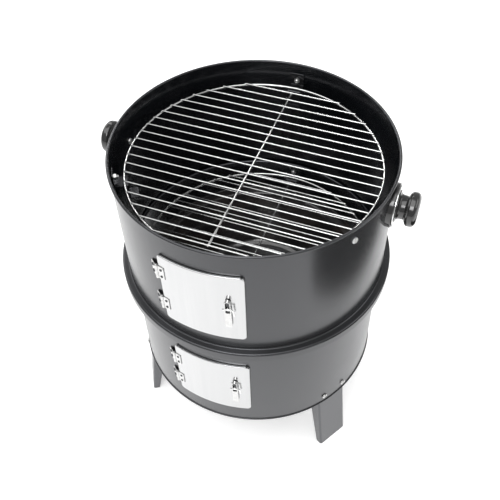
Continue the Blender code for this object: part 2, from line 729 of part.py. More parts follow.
def make_door(group, barrel, wall_radius, inside_radius):
    low, high = door_span(barrel)
    half_width = door_width / 2.0
    back = wall_radius + door_standoff
    face = back + door_depth
    lock_z = (low + high) / 2.0 + latch_rise
    lock_side = half_width - latch_inset
    lock_azimuth = math.degrees(math.asin(lock_side / face))
    blank = door_blank(barrel + "_blank", back, face, half_width, low, high, door_corner)
    recess = door_blank("recess", back - 0.002, face - door_sheet, half_width - door_sheet,
                        low + door_sheet, high - door_sheet, door_corner - door_sheet)
    hole = moved(cylinder("spindle_hole", spindle_radius + gap, -0.01, 0.01, bolt_steps),
                 radial(lock_azimuth, face, lock_z))
    panel = combined(barrel + "_door", blank, [("DIFFERENCE", recess), ("DIFFERENCE", hole)])

    # the pin's axis stands just beside the door's edge
    pin_out = face + pin_proud
    pin_azimuth = -math.degrees(math.asin((half_width + knuckle_radius + gap) / pin_out))
    axis = add_axis(group, barrel + "_door_axis", facing(pin_azimuth, pin_out, (low + high) / 2.0))
    add_piece(group, barrel + "_door", panel, "door_steel", None, axis)
    door_leaf, wall_leaf, pin = hinge_leaves()
    for i, z in enumerate((high - hinge_inset, low + hinge_inset), start=1):
        place = facing(pin_azimuth, pin_out, z)
        add_piece(group, f"{barrel}_door_leaf_{i}", door_leaf, "zinc", place, axis)
        add_piece(group, f"{barrel}_wall_leaf_{i}", wall_leaf, "zinc", place)
        add_piece(group, f"{barrel}_hinge_pin_{i}", pin, "zinc", place)

    lock_axis = add_axis(group, barrel + "_latch_axis", radial(lock_azimuth, face, lock_z), axis)
    lever_back = face + lever_lift
    lever_place = facing(lock_azimuth, lever_back, lock_z)
    add_piece(group, barrel + "_latch_lever", lever_mesh(), "zinc", lever_place, lock_axis)
    tip = flat_tongue_face(inside_radius)
    spindle = spindle_mesh(tip - tongue_sheet - face, lever_back + lever_depth - 0.001 - face, tip - face)
    add_piece(group, barrel + "_latch_spindle", spindle, "zinc", radial(lock_azimuth, face, lock_z), lock_axis)


def flat_tongue_face(inside_radius):
    """Outer face of the locking tongue, so that its tip clears the wall when it is turned across."""
    reach = math.hypot(tongue_length, tongue_width / 2.0)
    apothem = inside_radius * math.cos(math.pi / barrel_steps)
    return math.sqrt((apothem - tongue_play) ** 2 - reach ** 2)


def build():
    empty_scene()
    group = make_collection("vertical_water_smoker")
    make_collection("cutters")
    make_upper_barrel(group)
    make_lower_barrel(group)
    make_grates(group)
    make_water_bowl(group)
    make_charcoal_bowl(group)
    make_supports(group, "upper", barrel_radius, upper_inside, upper_bolt_z)
    make_supports(group, "lower", lower_radius, lower_inside, lower_bolt_z)
    make_legs(group)
    make_knobs(group)
    make_door(group, "upper", barrel_radius, upper_inside)
    make_door(group, "lower", lower_radius, lower_inside)


build()
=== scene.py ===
# Vertical water smoker: the finished surfaces, materials, light and camera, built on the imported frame.
# Metres, +Z up, doors facing -Y; an azimuth is counted from the doors towards +X.
import math

import bmesh
import bpy
import numpy as np
from mathutils import Matrix, Vector


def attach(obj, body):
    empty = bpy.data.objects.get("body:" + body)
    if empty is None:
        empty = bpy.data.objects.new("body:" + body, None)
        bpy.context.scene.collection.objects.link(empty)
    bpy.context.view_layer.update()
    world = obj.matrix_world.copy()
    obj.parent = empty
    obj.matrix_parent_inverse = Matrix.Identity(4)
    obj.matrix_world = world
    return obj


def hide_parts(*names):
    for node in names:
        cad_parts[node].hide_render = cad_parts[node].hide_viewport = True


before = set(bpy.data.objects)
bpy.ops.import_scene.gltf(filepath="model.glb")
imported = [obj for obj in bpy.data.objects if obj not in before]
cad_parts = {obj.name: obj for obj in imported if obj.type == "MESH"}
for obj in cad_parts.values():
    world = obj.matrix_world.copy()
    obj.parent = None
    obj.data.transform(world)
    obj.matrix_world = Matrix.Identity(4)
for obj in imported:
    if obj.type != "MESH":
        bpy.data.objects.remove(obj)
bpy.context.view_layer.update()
print("frame loaded:", len(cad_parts), "nodes")

supportAzimuths = (60.0, 180.0, 300.0)
gap = 0.0003          # between pieces that touch


# a surface is (points, quads, many-sided faces)
def unit(v):
    return v / np.linalg.norm(v, axis=-1, keepdims=True)


def gridSurface(grid, wrapRows=False, wrapCols=False):
    # a two-parameter grid of points, each cell one quad, optionally closed on itself either way
    rows, cols = grid.shape[:2]
    index = np.arange(rows * cols).reshape(rows, cols)
    if wrapRows:
        index = np.vstack([index, index[:1]])
    if wrapCols:
        index = np.hstack([index, index[:, :1]])
    corners = [index[:-1, :-1], index[1:, :-1], index[1:, 1:], index[:-1, 1:]]
    return grid.reshape(-1, 3), np.stack(corners, -1).reshape(-1, 4), []


def loft(rows):
    # closed outlines of equal length, one after another, with a flat cap at each end
    grid = np.asarray(rows, float)
    points, quads, _ = gridSurface(grid, wrapCols=True)
    count = grid.shape[1]
    last = len(points) - count
    caps = [list(range(count)), list(range(last + count - 1, last - 1, -1))]
    return points, quads, caps


def revolve(outline, steps, closed=True):
    # (radius, height) carried round Z: x = r cos a, y = r sin a, z = h
    outline = np.asarray(outline, float)
    angle = np.linspace(0.0, 2.0 * np.pi, steps, endpoint=False)[:, None]
    radius = outline[None, :, 0]
    height = np.broadcast_to(outline[None, :, 1], (steps, len(outline)))
    grid = np.stack([radius * np.cos(angle), radius * np.sin(angle), height], -1)
    return gridSurface(grid, wrapRows=True, wrapCols=closed)


def arc(cx, cy, radius, start, end, count):
    # points on an arc, angles in degrees, both ends included
    angle = np.radians(np.linspace(start, end, count))
    return np.stack([cx + radius * np.cos(angle), cy + radius * np.sin(angle)], -1)


def rounded(points, radii, steps=5):
    # the path with each inner corner replaced by an arc of its own radius
    points = [np.asarray(p, float) for p in points]
    if np.isscalar(radii):
        radii = [radii] * (len(points) - 2)
    path = [points[0]]
    for before, here, after, radius in zip(points, points[1:], points[2:], radii):
        back, on = unit(before - here), unit(after - here)
        angle = math.acos(float(np.clip(back @ on, -1.0, 1.0)))
        if radius <= 0.0 or math.pi - angle < 1e-3:
            path.append(here)
            continue
        centre = here + unit(back + on) * radius / math.sin(angle / 2.0)
        reach = radius / math.tan(angle / 2.0)
        start, end = here + back * reach - centre, here + on * reach - centre
        sweep = math.pi - angle
        t = np.linspace(0.0, 1.0, steps + 1)[:, None]
        path.extend(centre + (np.sin((1 - t) * sweep) * start + np.sin(t * sweep) * end) / math.sin(sweep))
    path.append(points[-1])
    return np.array(path)


def roundedLoop(points, radius, steps=5):
    # a closed outline with every corner rounded
    ring = [points[-1]] + list(points) + [points[0]]
    return rounded(ring, radius, steps)[1:-1]


def sheetOutline(path, thickness, capSteps=4):
    # closed outline of sheet metal about its middle line: both offsets, and a half-round edge at each end
    path = np.asarray(path, float)
    run = unit(np.diff(path, axis=0))
    before, after = np.vstack([run[:1], run]), np.vstack([run, run[-1:]])
    normal = np.stack([-before[:, 1] - after[:, 1], before[:, 0] + after[:, 0]], -1)
    normal = unit(normal)
    plain = np.stack([-before[:, 1], before[:, 0]], -1)
    half = thickness / 2.0 / np.sum(normal * plain, -1, keepdims=True)
    left, right = path + normal * half, (path - normal * half)[::-1]
    turn = np.linspace(0.0, np.pi, capSteps + 2)[1:-1, None]

    def cap(end, side, out):
        return end + thickness / 2.0 * (np.cos(turn) * side + np.sin(turn) * out)

    far = cap(path[-1], plain[-1], run[-1])
    near = cap(path[0], -plain[0], -run[0])
    return np.vstack([left, far, right, near])


def tube(path, radius, sides=12, closed=False):
    # a circle carried along a path, its frame turned as little as possible, with domed ends
    path = np.asarray(path, float)
    if closed:
        run = unit(np.roll(path, -1, 0) - np.roll(path, 1, 0))
    else:
        run = unit(np.gradient(path, axis=0))
    across = np.zeros_like(run)
    start = np.array([0.0, 0.0, 1.0]) if abs(run[0, 2]) < 0.9 else np.array([1.0, 0.0, 0.0])
    across[0] = unit(np.cross(run[0], start))
    for i in range(1, len(path)):
        across[i] = unit(across[i - 1] - run[i] * (across[i - 1] @ run[i]))
    third = np.cross(run, across)
    size = np.full(len(path), radius)
    if not closed:
        lift = np.radians(np.array([90.0, 62.0, 36.0, 14.0]))
        near = path[0] + run[0] * (radius * (1.0 - np.sin(lift)))[:, None]
        far = path[-1] - run[-1] * (radius * (1.0 - np.sin(lift)))[::-1, None]
        path = np.vstack([near, path[0] + run[0] * radius, path[1:-1], path[-1] - run[-1] * radius, far])
        ends = radius * np.cos(lift)
        size = np.concatenate([ends, [radius], size[1:-1], [radius], ends[::-1]])
        across = np.vstack([np.repeat(across[:1], 4, 0), across, np.repeat(across[-1:], 4, 0)])
        third = np.vstack([np.repeat(third[:1], 4, 0), third, np.repeat(third[-1:], 4, 0)])
    angle = np.linspace(0.0, 2.0 * np.pi, sides, endpoint=False)[None, :, None]
    ring = np.cos(angle) * across[:, None] + np.sin(angle) * third[:, None]
    grid = path[:, None] + ring * size[:, None, None]
    if closed:
        return gridSurface(grid, wrapRows=True, wrapCols=True)
    return loft(grid)


def extruded(outline, low, high):
    # a flat (x, y) outline raised from one height to another
    outline = np.asarray(outline, float)
    rows = [np.column_stack([outline, np.full(len(outline), z)]) for z in (low, high)]
    return loft(rows)


def moved(surface, matrix):
    points, quads, rest = surface
    turn = np.array(matrix, float)
    return points @ turn[:3, :3].T + turn[:3, 3], quads, rest


def facing(azimuth, out=0.0, z=0.0, side=0.0):
    # local -Y points outwards at this azimuth
    return Matrix.Rotation(math.radians(azimuth), 4, "Z") @ Matrix.Translation((side, -out, z))


def radial(azimuth, out=0.0, z=0.0, side=0.0):
    # local +Z points outwards and local +Y up
    return facing(azimuth, out, z, side) @ Matrix.Rotation(math.pi / 2.0, 4, "X")


def rawMesh(name, surfaces):
    points, faces, start = [], [], 0
    for spots, quads, rest in surfaces:
        points.append(spots)
        faces.extend((quads + start).tolist())
        faces.extend([[i + start for i in face] for face in rest])
        start += len(spots)
    mesh = bpy.data.meshes.new(name)
    mesh.from_pydata(np.vstack(points), [], faces)
    work = bmesh.new()
    work.from_mesh(mesh)
    bmesh.ops.remove_doubles(work, verts=work.verts, dist=1e-6)
    bmesh.ops.dissolve_degenerate(work, edges=work.edges, dist=1e-7)
    bmesh.ops.recalc_face_normals(work, faces=work.faces)
    work.to_mesh(mesh)
    work.free()
    return mesh


def applied(piece):
    # the piece's modifiers made part of its mesh
    bpy.context.view_layer.update()
    shape = piece.evaluated_get(bpy.context.evaluated_depsgraph_get())
    piece.data = bpy.data.meshes.new_from_object(shape)
    piece.modifiers.clear()


shading = {"segments": 2, "bevelAngle": 42.0, "sharpAngle": 38.0}


def makePiece(name, surfaces, material, body, stands=(), cut=None, edge=0.0):
    # one finished piece: mesh, cuts, broken edges, shading, material, and the body it rides on
    mesh = rawMesh(name, surfaces)
    piece = bpy.data.objects.new(name, mesh)
    bpy.context.scene.collection.objects.link(piece)
    if cut:
        tool = bpy.data.objects.new(name + "Cut", rawMesh(name + "Cut", cut))
        bpy.context.scene.collection.objects.link(tool)
        opening = piece.modifiers.new("opening", "BOOLEAN")
        opening.operation = "DIFFERENCE"
        opening.solver = "EXACT"
        opening.object = tool
        applied(piece)
        bpy.data.objects.remove(tool, do_unlink=True)
    if edge > 0.0:
        bevel = piece.modifiers.new("brokenEdge", "BEVEL")
        bevel.width = edge
        bevel.segments = shading["segments"]
        bevel.limit_method = "ANGLE"
        bevel.angle_limit = math.radians(shading["bevelAngle"])
        bevel.use_clamp_overlap = True
        applied(piece)
    piece.data.materials.clear()
    piece.data.materials.append(material)
    piece.data.shade_smooth()
    piece.data.set_sharp_from_angle(angle=math.radians(shading["sharpAngle"]))
    if edge > 0.0 or cut:
        weighted = piece.modifiers.new("evenShading", "WEIGHTED_NORMAL")
        weighted.keep_sharp = True
        applied(piece)
    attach(piece, body)
    if stands:
        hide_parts(*stands)
    return piece


class Wire:
    # a socket's value; + - * ** on it add Math nodes
    def __init__(self, graph, socket):
        self.graph = graph
        self.socket = socket

    def maths(self, operation, first, second=None):
        inputs = {0: first} if second is None else {0: first, 1: second}
        return self.graph.node("ShaderNodeMath", {"operation": operation}, inputs)

    def __add__(self, other):
        return self.maths("ADD", self, other)

    def __radd__(self, other):
        return self.maths("ADD", other, self)

    def __sub__(self, other):
        return self.maths("SUBTRACT", self, other)

    def __rsub__(self, other):
        return self.maths("SUBTRACT", other, self)

    def __mul__(self, other):
        return self.maths("MULTIPLY", self, other)

    def __rmul__(self, other):
        return self.maths("MULTIPLY", other, self)

    def __pow__(self, other):
        return self.maths("POWER", self, other)

    def clipped(self):
        return self.maths("MINIMUM", self.maths("MAXIMUM", self, 0.0), 1.0)


class Graph:
    # one material's nodes, around one Principled shader whose fixed values are given as constants
    def __init__(self, name, **fixed):
        self.material = bpy.data.materials.new(name)
        self.material.use_nodes = True
        self.tree = self.material.node_tree
        self.shader = self.tree.nodes["Principled BSDF"]
        for key, value in fixed.items():
            self.shader.inputs[key.replace("_", " ")].default_value = value

    def node(self, kind, settings=None, inputs=None, output=0):
        made = self.tree.nodes.new(kind)
        for key, value in (settings or {}).items():
            setattr(made, key, value)
        for key, value in (inputs or {}).items():
            if isinstance(value, Wire):
                self.tree.links.new(value.socket, made.inputs[key])
            else:
                made.inputs[key].default_value = value
        return Wire(self, made.outputs[output])

    def place(self):
        return self.node("ShaderNodeTexCoord", output="Object")

    def scaled(self, scale):
        return self.node("ShaderNodeMapping", inputs={"Vector": self.place(), "Scale": scale})

    def axes(self):
        parts = self.node("ShaderNodeSeparateXYZ", inputs={"Vector": self.place()})
        node = parts.socket.node
        return [Wire(self, node.outputs[i]) for i in range(3)]

    def noise(self, scale, detail=2.0, rough=0.5, vector=None, distortion=0.0):
        inputs = {"Vector": vector or self.place(), "Scale": scale, "Detail": detail,
                  "Roughness": rough, "Distortion": distortion}
        return self.node("ShaderNodeTexNoise", inputs=inputs, output="Fac")

    def cells(self, scale, vector=None):
        return self.node("ShaderNodeTexVoronoi", inputs={"Vector": vector or self.place(), "Scale": scale},
                         output="Distance")

    def between(self, value, low, high):
        # 0 below low, 1 above high, smooth in the middle
        return self.node("ShaderNodeMapRange", {"interpolation_type": "SMOOTHSTEP"},
                         {"Value": value, "From Min": low, "From Max": high})

    def blend(self, factor, first, second):
        return self.node("ShaderNodeMix", {"data_type": "RGBA"}, {0: factor, 6: first, 7: second}, output=2)

    def bump(self, height, strength, distance, after=None):
        inputs = {"Height": height, "Strength": strength, "Distance": distance}
        if after is not None:
            inputs["Normal"] = after
        return self.node("ShaderNodeBump", inputs=inputs, output="Normal")

    def connect(self, **wires):
        for key, wire in wires.items():
            self.tree.links.new(wire.socket, self.shader.inputs[key.replace("_", " ")])
        return self.material


def grey(value, tint=(1.0, 1.0, 1.0)):
    return (value * tint[0], value * tint[1], value * tint[2], 1.0)


# inside: the near-black base colour that paints shade on surfaces inside the barrels; above lowerTop the lower
# barrel takes that painted shade too
paint = {"outside": 0.022, "inside": 0.0035, "roughness": 0.25, "insideRoughness": 0.22, "peel": 0.04,
         "upperSplit": 0.1964, "lowerSplit": 0.1934, "lowerTop": 0.3315}


def satinPaint(name, insideRadius=None, tone=None, insideTop=None, shine=0.70):
    # heat-proof black: a fine orange peel, slow patches of gloss and a little dust; painted shade: darker and
    # bluer for radii under insideRadius and heights above insideTop, where the parts lie inside the smoker and
    # get little light
    g = Graph(name, Specular_IOR_Level=shine, Specular_Tint=grey(1.0, (0.97, 0.985, 1.04)))
    tone = tone or paint["outside"]
    x, y, z = g.axes()
    patches = g.noise(9.0, 3.0, 0.55)
    cloud = g.noise(34.0, 4.0, 0.6)
    peel = g.noise(620.0, 2.0, 0.5)
    dust = g.between(g.noise(1500.0, 1.0, 0.4), 0.70, 0.80)
    shade = g.blend(patches, grey(tone * 0.88, (0.97, 1.0, 1.06)), grey(tone * 1.12, (0.99, 1.0, 1.03)))
    shade = g.blend(dust * 0.12, shade, grey(0.10))
    rough = paint["roughness"] + (patches - 0.5) * 0.07 + (cloud - 0.5) * 0.05 + dust * 0.05
    if insideRadius:
        # painted shade: inside the barrels the base colour drops to a near-black, bluish tone that stands in
        # for the shade there
        distance = (x * x + y * y) ** 0.5
        shadedInside = 1.0 - g.between(distance, insideRadius - 0.0002, insideRadius + 0.0002)
        if insideTop:
            shadedInside = (shadedInside + g.between(z, insideTop - 0.0002, insideTop + 0.0002)).clipped()
        blueBlack = (0.8, 1.0, 1.3)
        paintedShade = g.blend(cloud, grey(paint["inside"] * 0.7, blueBlack), grey(paint["inside"] * 1.3, blueBlack))
        shade = g.blend(shadedInside, shade, paintedShade)
        rough = rough - shadedInside * (paint["roughness"] - paint["insideRoughness"])
    normal = g.bump(peel, paint["peel"], 0.0006)
    return g.connect(Base_Color=shade, Roughness=rough, Normal=normal)


def bowlEnamel(name):
    # glossy black enamel with a brown cast where it is thin, tiny pits and soft smears
    g = Graph(name, Specular_IOR_Level=0.55, Coat_Roughness=0.06, Coat_IOR=1.5)
    smear = g.noise(14.0, 4.0, 0.6, g.scaled((1.0, 1.0, 2.5)), 0.8)
    pits = g.between(g.cells(420.0), 0.12, 0.05)
    ripple = g.noise(48.0, 2.0, 0.5)
    shade = g.blend(g.between(smear, 0.42, 0.72), grey(0.010), (0.024, 0.019, 0.016, 1.0))
    rough = 0.10 + g.between(smear, 0.45, 0.75) * 0.14
    normal = g.bump(ripple, 0.25, 0.0012, g.bump(pits, 0.08, 0.0003))
    coat = 0.9 - g.between(smear, 0.5, 0.8) * 0.4
    return g.connect(Base_Color=shade, Roughness=rough, Normal=normal, Coat_Weight=coat)


def platedWire(name, tone=0.60, roughness=0.13):
    # bright plating: fine draw lines, faint cloudiness and a few dull spots
    g = Graph(name, Metallic=1.0)
    cloud = g.noise(90.0, 3.0, 0.6)
    lines = g.noise(1400.0, 2.0, 0.5, g.scaled((1.0, 0.06, 1.0)))
    spots = g.between(g.noise(700.0, 1.0, 0.5), 0.68, 0.78)
    shade = g.blend(cloud, grey(tone * 0.93, (0.99, 1.0, 1.0)), grey(tone * 1.07, (1.0, 1.0, 0.99)))
    shade = g.blend(spots * 0.3, shade, grey(tone * 0.55))
    rough = roughness + cloud * 0.07 + spots * 0.12
    return g.connect(Base_Color=shade, Roughness=rough, Normal=g.bump(lines, 0.12, 0.00012))


def doorSheet(name):
    # bright sheet steel: upright brushing in fine and coarse streaks, soft handling marks and specks
    g = Graph(name, Metallic=1.0)
    fine = g.noise(520.0, 3.0, 0.6, g.scaled((1.0, 1.0, 0.018)))
    coarse = g.noise(110.0, 2.0, 0.5, g.scaled((1.0, 1.0, 0.05)))
    marks = g.noise(26.0, 3.0, 0.6, None, 0.5)
    specks = g.between(g.noise(900.0, 1.0, 0.5), 0.71, 0.79)
    shade = g.blend(coarse * 0.6 + fine * 0.4, grey(0.52, (0.99, 1.0, 1.01)), grey(0.60, (1.0, 1.0, 1.0)))
    shade = g.blend(specks * 0.2, shade, grey(0.45))
    rough = 0.17 + (fine - 0.5) * 0.07 + (marks - 0.5) * 0.06
    return g.connect(Base_Color=shade, Roughness=rough, Normal=g.bump(fine, 0.10, 0.00010))


def zincPlate(name):
    # zinc-plated fasteners and pressings: mottled spangle and softened scratches
    g = Graph(name, Metallic=1.0)
    spangle = g.cells(380.0)
    cloud = g.noise(160.0, 3.0, 0.6)
    scratches = g.noise(900.0, 2.0, 0.6, g.scaled((0.12, 1.0, 1.0)))
    shade = g.blend(cloud, grey(0.56, (1.0, 1.0, 0.98)), grey(0.72, (1.0, 1.0, 1.0)))
    rough = 0.20 + spangle * 0.12 + cloud * 0.08
    return g.connect(Base_Color=shade, Roughness=rough, Normal=g.bump(scratches, 0.10, 0.00012))


def mouldedKnob(name):
    # glossy moulded resin: faint flow marks, tiny dimples and a polished skin
    g = Graph(name, Coat_Roughness=0.05, Coat_IOR=1.5, Specular_IOR_Level=0.5)
    flow = g.noise(60.0, 3.0, 0.6, None, 0.6)
    dimple = g.noise(1100.0, 2.0, 0.5)
    shade = g.blend(flow, grey(0.010), grey(0.022))
    rough = 0.16 + flow * 0.08
    normal = g.bump(dimple, 0.05, 0.0002)
    return g.connect(Base_Color=shade, Roughness=rough, Normal=normal, Coat_Weight=0.6 + flow * 0.3)


finishes = {
    # painted shade: both barrel paints darken inside the barrels, and the lower one also over its top curl
    # under the upper barrel's skirt
    "upperPaint": satinPaint("upperPaint", paint["upperSplit"], shine=0.66),
    "lowerPaint": satinPaint("lowerPaint", paint["lowerSplit"], insideTop=paint["lowerTop"], shine=0.78),
    # legPaint: a lighter copy of the barrel paint, its doubled tone painting in the brighter light the legs
    # catch
    "legPaint": satinPaint("legPaint", tone=0.04, shine=1.0),
    # painted shade: the brackets take the barrels' near-black inside tone all over
    "bracketPaintAndShade": satinPaint("bracketPaintAndShade", tone=paint["inside"]),
    # near-black satin paint for the hinge screws and latch spring, and painted shade on the sheet behind the
    # latch window
    "darkSteelAndShade": satinPaint("darkSteelAndShade", tone=0.012),
    "enamel": bowlEnamel("enamel"),
    "wire": platedWire("wire"),
    "chrome": platedWire("chrome", 0.86, 0.06),
    "door": doorSheet("door"),
    "zinc": zincPlate("zinc"),
    "resin": mouldedKnob("resin"),
}
print("materials made:", len(finishes))


barrel = {
    "upperRadius": 0.197, "lowerRadius": 0.194, "sheet": 0.0012, "rollRadius": 0.0015,
    "rimTop": 0.54, "shelfTop": 0.341, "skirtRadius": 0.208, "skirtLow": 0.326,
    "seam": 0.3395, "lowerRollRadius": 0.2034, "base": 0.130, "hem": 0.0008, "steps": 240,
    "shelfBends": [0.0026, 0.0030, 0.0], "flangeBend": 0.0035, "boltHole": 0.0027, "knobZ": 0.4925,
    "upperBoltZ": 0.515, "lowerBoltZ": 0.327, "legBoltZ": 0.147, "legBoltSide": 0.02,
    "upperWindow": (0.3758, 0.4937), "lowerWindow": (0.1778, 0.2842),
    "windowHalf": 0.0525, "windowCorner": 0.0075,
}


def boltCut(wallRadius, azimuth, z, side=0.0):
    hole = extruded(arc(0.0, 0.0, barrel["boltHole"], 0.0, 345.0, 24), -0.02, 0.02)
    return moved(hole, radial(azimuth, wallRadius, z, side))


def windowCut(levels, wallRadius):
    low, high = levels
    half = barrel["windowHalf"]
    corners = [(-half, low), (half, low), (half, high), (-half, high)]
    outline = roundedLoop(corners, barrel["windowCorner"], 8)
    return moved(extruded(outline, -0.05, 0.02), radial(0.0, wallRadius, 0.0))


def makeBarrels():
    b = barrel
    t, roll = b["sheet"], b["rollRadius"]
    wallMiddle = b["upperRadius"] - t / 2.0
    rollZ = b["rimTop"] - roll - t / 2.0
    shelfZ, skirtMiddle = b["shelfTop"] - t / 2.0, b["skirtRadius"] - t / 2.0
    lowPart = rounded([(skirtMiddle, b["skirtLow"] + t / 2.0), (skirtMiddle, shelfZ), (wallMiddle, shelfZ),
                       (wallMiddle, rollZ)], b["shelfBends"], 8)
    curl = arc(wallMiddle + roll, rollZ, roll, 180.0, -88.0, 22)
    section = sheetOutline(np.vstack([lowPart[:-1], curl]), t)
    cuts = [boltCut(b["upperRadius"], a, b["upperBoltZ"]) for a in supportAzimuths]
    cuts += [boltCut(b["upperRadius"], a, b["knobZ"]) for a in (90.0, 270.0)]
    cuts.append(windowCut(b["upperWindow"], b["upperRadius"]))
    makePiece("upperBarrel", [revolve(section, b["steps"])], finishes["upperPaint"], "upper_section",
              ["upper_barrel"], cut=cuts)
    wallMiddle = b["lowerRadius"] - t / 2.0
    rollZ = b["seam"] - roll - t / 2.0
    hem = b["hem"]
    foot = arc(wallMiddle + hem, b["base"] + hem + t / 2.0, hem, 90.0, -180.0, 14)
    flange = b["seam"] - 2.0 * roll - t
    top = rounded([(wallMiddle, b["base"] + hem + t / 2.0), (wallMiddle, flange),
                   (b["lowerRollRadius"] - 0.001, flange)], [b["flangeBend"]], 8)
    curl = arc(b["lowerRollRadius"], rollZ, roll, -90.0, 200.0, 22)
    section = sheetOutline(np.vstack([foot, top[1:], curl]), t)
    cuts = [boltCut(b["lowerRadius"], a, b["lowerBoltZ"]) for a in supportAzimuths]
    cuts += [boltCut(b["lowerRadius"], a, b["legBoltZ"], s * b["legBoltSide"])
             for a in supportAzimuths for s in (-1.0, 1.0)]
    cuts.append(windowCut(b["lowerWindow"], b["lowerRadius"]))
    makePiece("lowerBarrel", [revolve(section, b["steps"])], finishes["lowerPaint"], "base",
              ["lower_barrel"], cut=cuts)


makeBarrels()
print("barrels made")


grate = {"ringRadius": 0.1795, "ringWire": 0.0018, "barWire": 0.00125, "crossWire": 0.0016,
         "pitch": 0.0172, "bars": 20, "overhang": 0.0010, "sink": 0.0006, "topZ": 0.5056, "lowerZ": 0.3176,
         "ringWeld": (0.0018, 0.0012), "crossWeld": (0.0016, 0.0010)}


def grateSurfaces(z):
    g = grate
    angle = np.linspace(0.0, 2.0 * np.pi, 160, endpoint=False)
    circle = np.stack([np.cos(angle), np.sin(angle), angle * 0.0], -1) * g["ringRadius"]
    made = [tube(circle + [0.0, 0.0, z + g["ringWire"]], g["ringWire"], 14, closed=True)]
    barZ = z + 2.0 * g["ringWire"] + g["barWire"] - g["sink"]
    rows = (np.arange(g["bars"]) - (g["bars"] - 1) / 2.0) * g["pitch"]
    halves = np.sqrt((g["ringRadius"] + g["overhang"]) ** 2 - rows ** 2)
    for y, half in zip(rows, halves):
        ends = np.linspace(-half, half, 5)
        made.append(tube(np.stack([ends, ends * 0.0 + y, ends * 0.0 + barZ], -1), g["barWire"], 12))
        onRing = math.sqrt(g["ringRadius"] ** 2 - y ** 2)
        for side in (-1.0, 1.0):
            made.append(weld((side * onRing, y, barZ - g["barWire"] * 0.55), *g["ringWeld"]))
    crossZ = barZ - g["barWire"] - g["crossWire"] + g["sink"]
    reach = rows[-1] + g["barWire"]
    ends = np.linspace(-reach, reach, 5)
    made.append(tube(np.stack([ends * 0.0, ends, ends * 0.0 + crossZ], -1), g["crossWire"], 12))
    made += [weld((0.0, y, barZ - g["barWire"] * 0.75), *g["crossWeld"]) for y in rows]
    return made


def weld(spot, width, height):
    # a weld's squashed ball: x = w cos a cos b, y = w sin a cos b, z = h sin b
    a = np.linspace(0.0, 2.0 * np.pi, 8, endpoint=False)[:, None]
    b = np.linspace(-np.pi / 2.0, np.pi / 2.0, 6)[None, :]
    across = width * np.cos(b)
    grid = np.stack([across * np.cos(a), across * np.sin(a), height * np.sin(b) + 0.0 * a], -1)
    return gridSurface(grid + np.asarray(spot), wrapRows=True)


for level in ("top", "lower"):
    node = level + "_grate"
    surfaces = grateSurfaces(grate[level + "Z"])
    makePiece(level + "Grate", surfaces, finishes["wire"], node, [node])
print("grates made")


bowls = {
    "water": {"rim": 0.1733, "floor": 0.104, "depth": 0.071, "z": 0.2936, "holes": 0},
    "charcoal": {"rim": 0.1623, "floor": 0.112, "depth": 0.056, "z": 0.1723, "holes": 8},
    "sheet": 0.0012, "flange": 0.012, "roll": 0.0011, "bottomBend": 0.016, "lipBend": 0.0035,
    "hole": 0.006, "holeCircle": 0.0672,
}


def makeBowl(kind):
    size = bowls[kind]
    t, roll = bowls["sheet"], bowls["roll"]
    lip = size["rim"] - bowls["flange"]
    middle = [(0.0, t / 2.0 - size["depth"]), (size["floor"], t / 2.0 - size["depth"]),
              (lip - bowls["lipBend"], t / 2.0), (size["rim"] - roll - t / 2.0, t / 2.0)]
    path = rounded(middle, [bowls["bottomBend"], bowls["lipBend"]], 12)
    path = np.vstack([path, arc(size["rim"] - roll - t / 2.0, t / 2.0 + roll, roll, -75.0, 150.0, 14)])
    cut = None
    if size["holes"]:
        hole = extruded(arc(0.0, 0.0, bowls["hole"], 0.0, 350.0, 28), -0.02, 0.02)
        ring = bowls["holeCircle"]
        spots = [(0.0, 0.0)] + [(ring * math.cos(a), ring * math.sin(a))
                                for a in np.linspace(0.0, 2.0 * np.pi, size["holes"], endpoint=False)]
        cut = [moved(hole, Matrix.Translation((x, y, size["z"] - size["depth"]))) for x, y in spots]
    closedSection = bowlSection(path, t)
    shell = moved(revolve(closedSection, 200, closed=False), Matrix.Translation((0.0, 0.0, size["z"])))
    node = kind + "_bowl"
    makePiece(kind + "Bowl", [shell], finishes["enamel"], node, [node], cut=cut)


def bowlSection(path, thickness):
    # outline of a bowl's wall that starts and ends on the axis: inside up to the rim, and back down outside
    outline = sheetOutline(path, thickness, 4)
    count = len(path)
    left, far, right = outline[:count], outline[count:count + 4], outline[count + 4:2 * count + 4]
    left[0, 0] = right[-1, 0] = 0.0
    return np.vstack([left, far, right])


for kind in ("water", "charcoal"):
    makeBowl(kind)
print("bowls made")


bolt = {"radius": 0.0024, "headRadius": 0.0046, "headHeight": 0.0026, "recess": 0.0011, "pitch": 0.0008,
        "threadDepth": 0.0003, "chamfer": 0.0004, "nutFlats": 0.008, "nutHeight": 0.0038, "nutBore": 0.0027,
        "pastNut": 0.0028}


def panHead(radius, height, recess):
    # polar grid: a low dome, less a cross-shaped recess, closed underneath
    share = np.concatenate([np.linspace(0.0, 0.72, 14), [0.8, 0.87, 0.93, 0.975, 1.0]])[None, :]
    turn = np.linspace(0.0, 2.0 * np.pi, 48, endpoint=False)[:, None]
    x, y = share * np.cos(turn), share * np.sin(turn)
    dome = 1.0 - (1.0 - np.sqrt(np.clip(1.0 - share ** 3.2, 0.0, 1.0))) * 0.94
    arm = np.clip((0.17 - np.abs(x)) / 0.06, 0, 1) * np.clip((0.60 - np.abs(y)) / 0.10, 0, 1)
    other = np.clip((0.17 - np.abs(y)) / 0.06, 0, 1) * np.clip((0.60 - np.abs(x)) / 0.10, 0, 1)
    tall = dome * height - recess * np.maximum(arm, other)
    top = np.stack([x * radius, y * radius, tall + 0.0 * turn], -1)
    under = np.stack([radius * np.cos(turn), radius * np.sin(turn), 0.0 * turn], -1)
    close = np.stack([0.0 * turn, 0.0 * turn, 0.0 * turn], -1)
    return gridSurface(np.concatenate([top, under, close], 1), wrapRows=True)


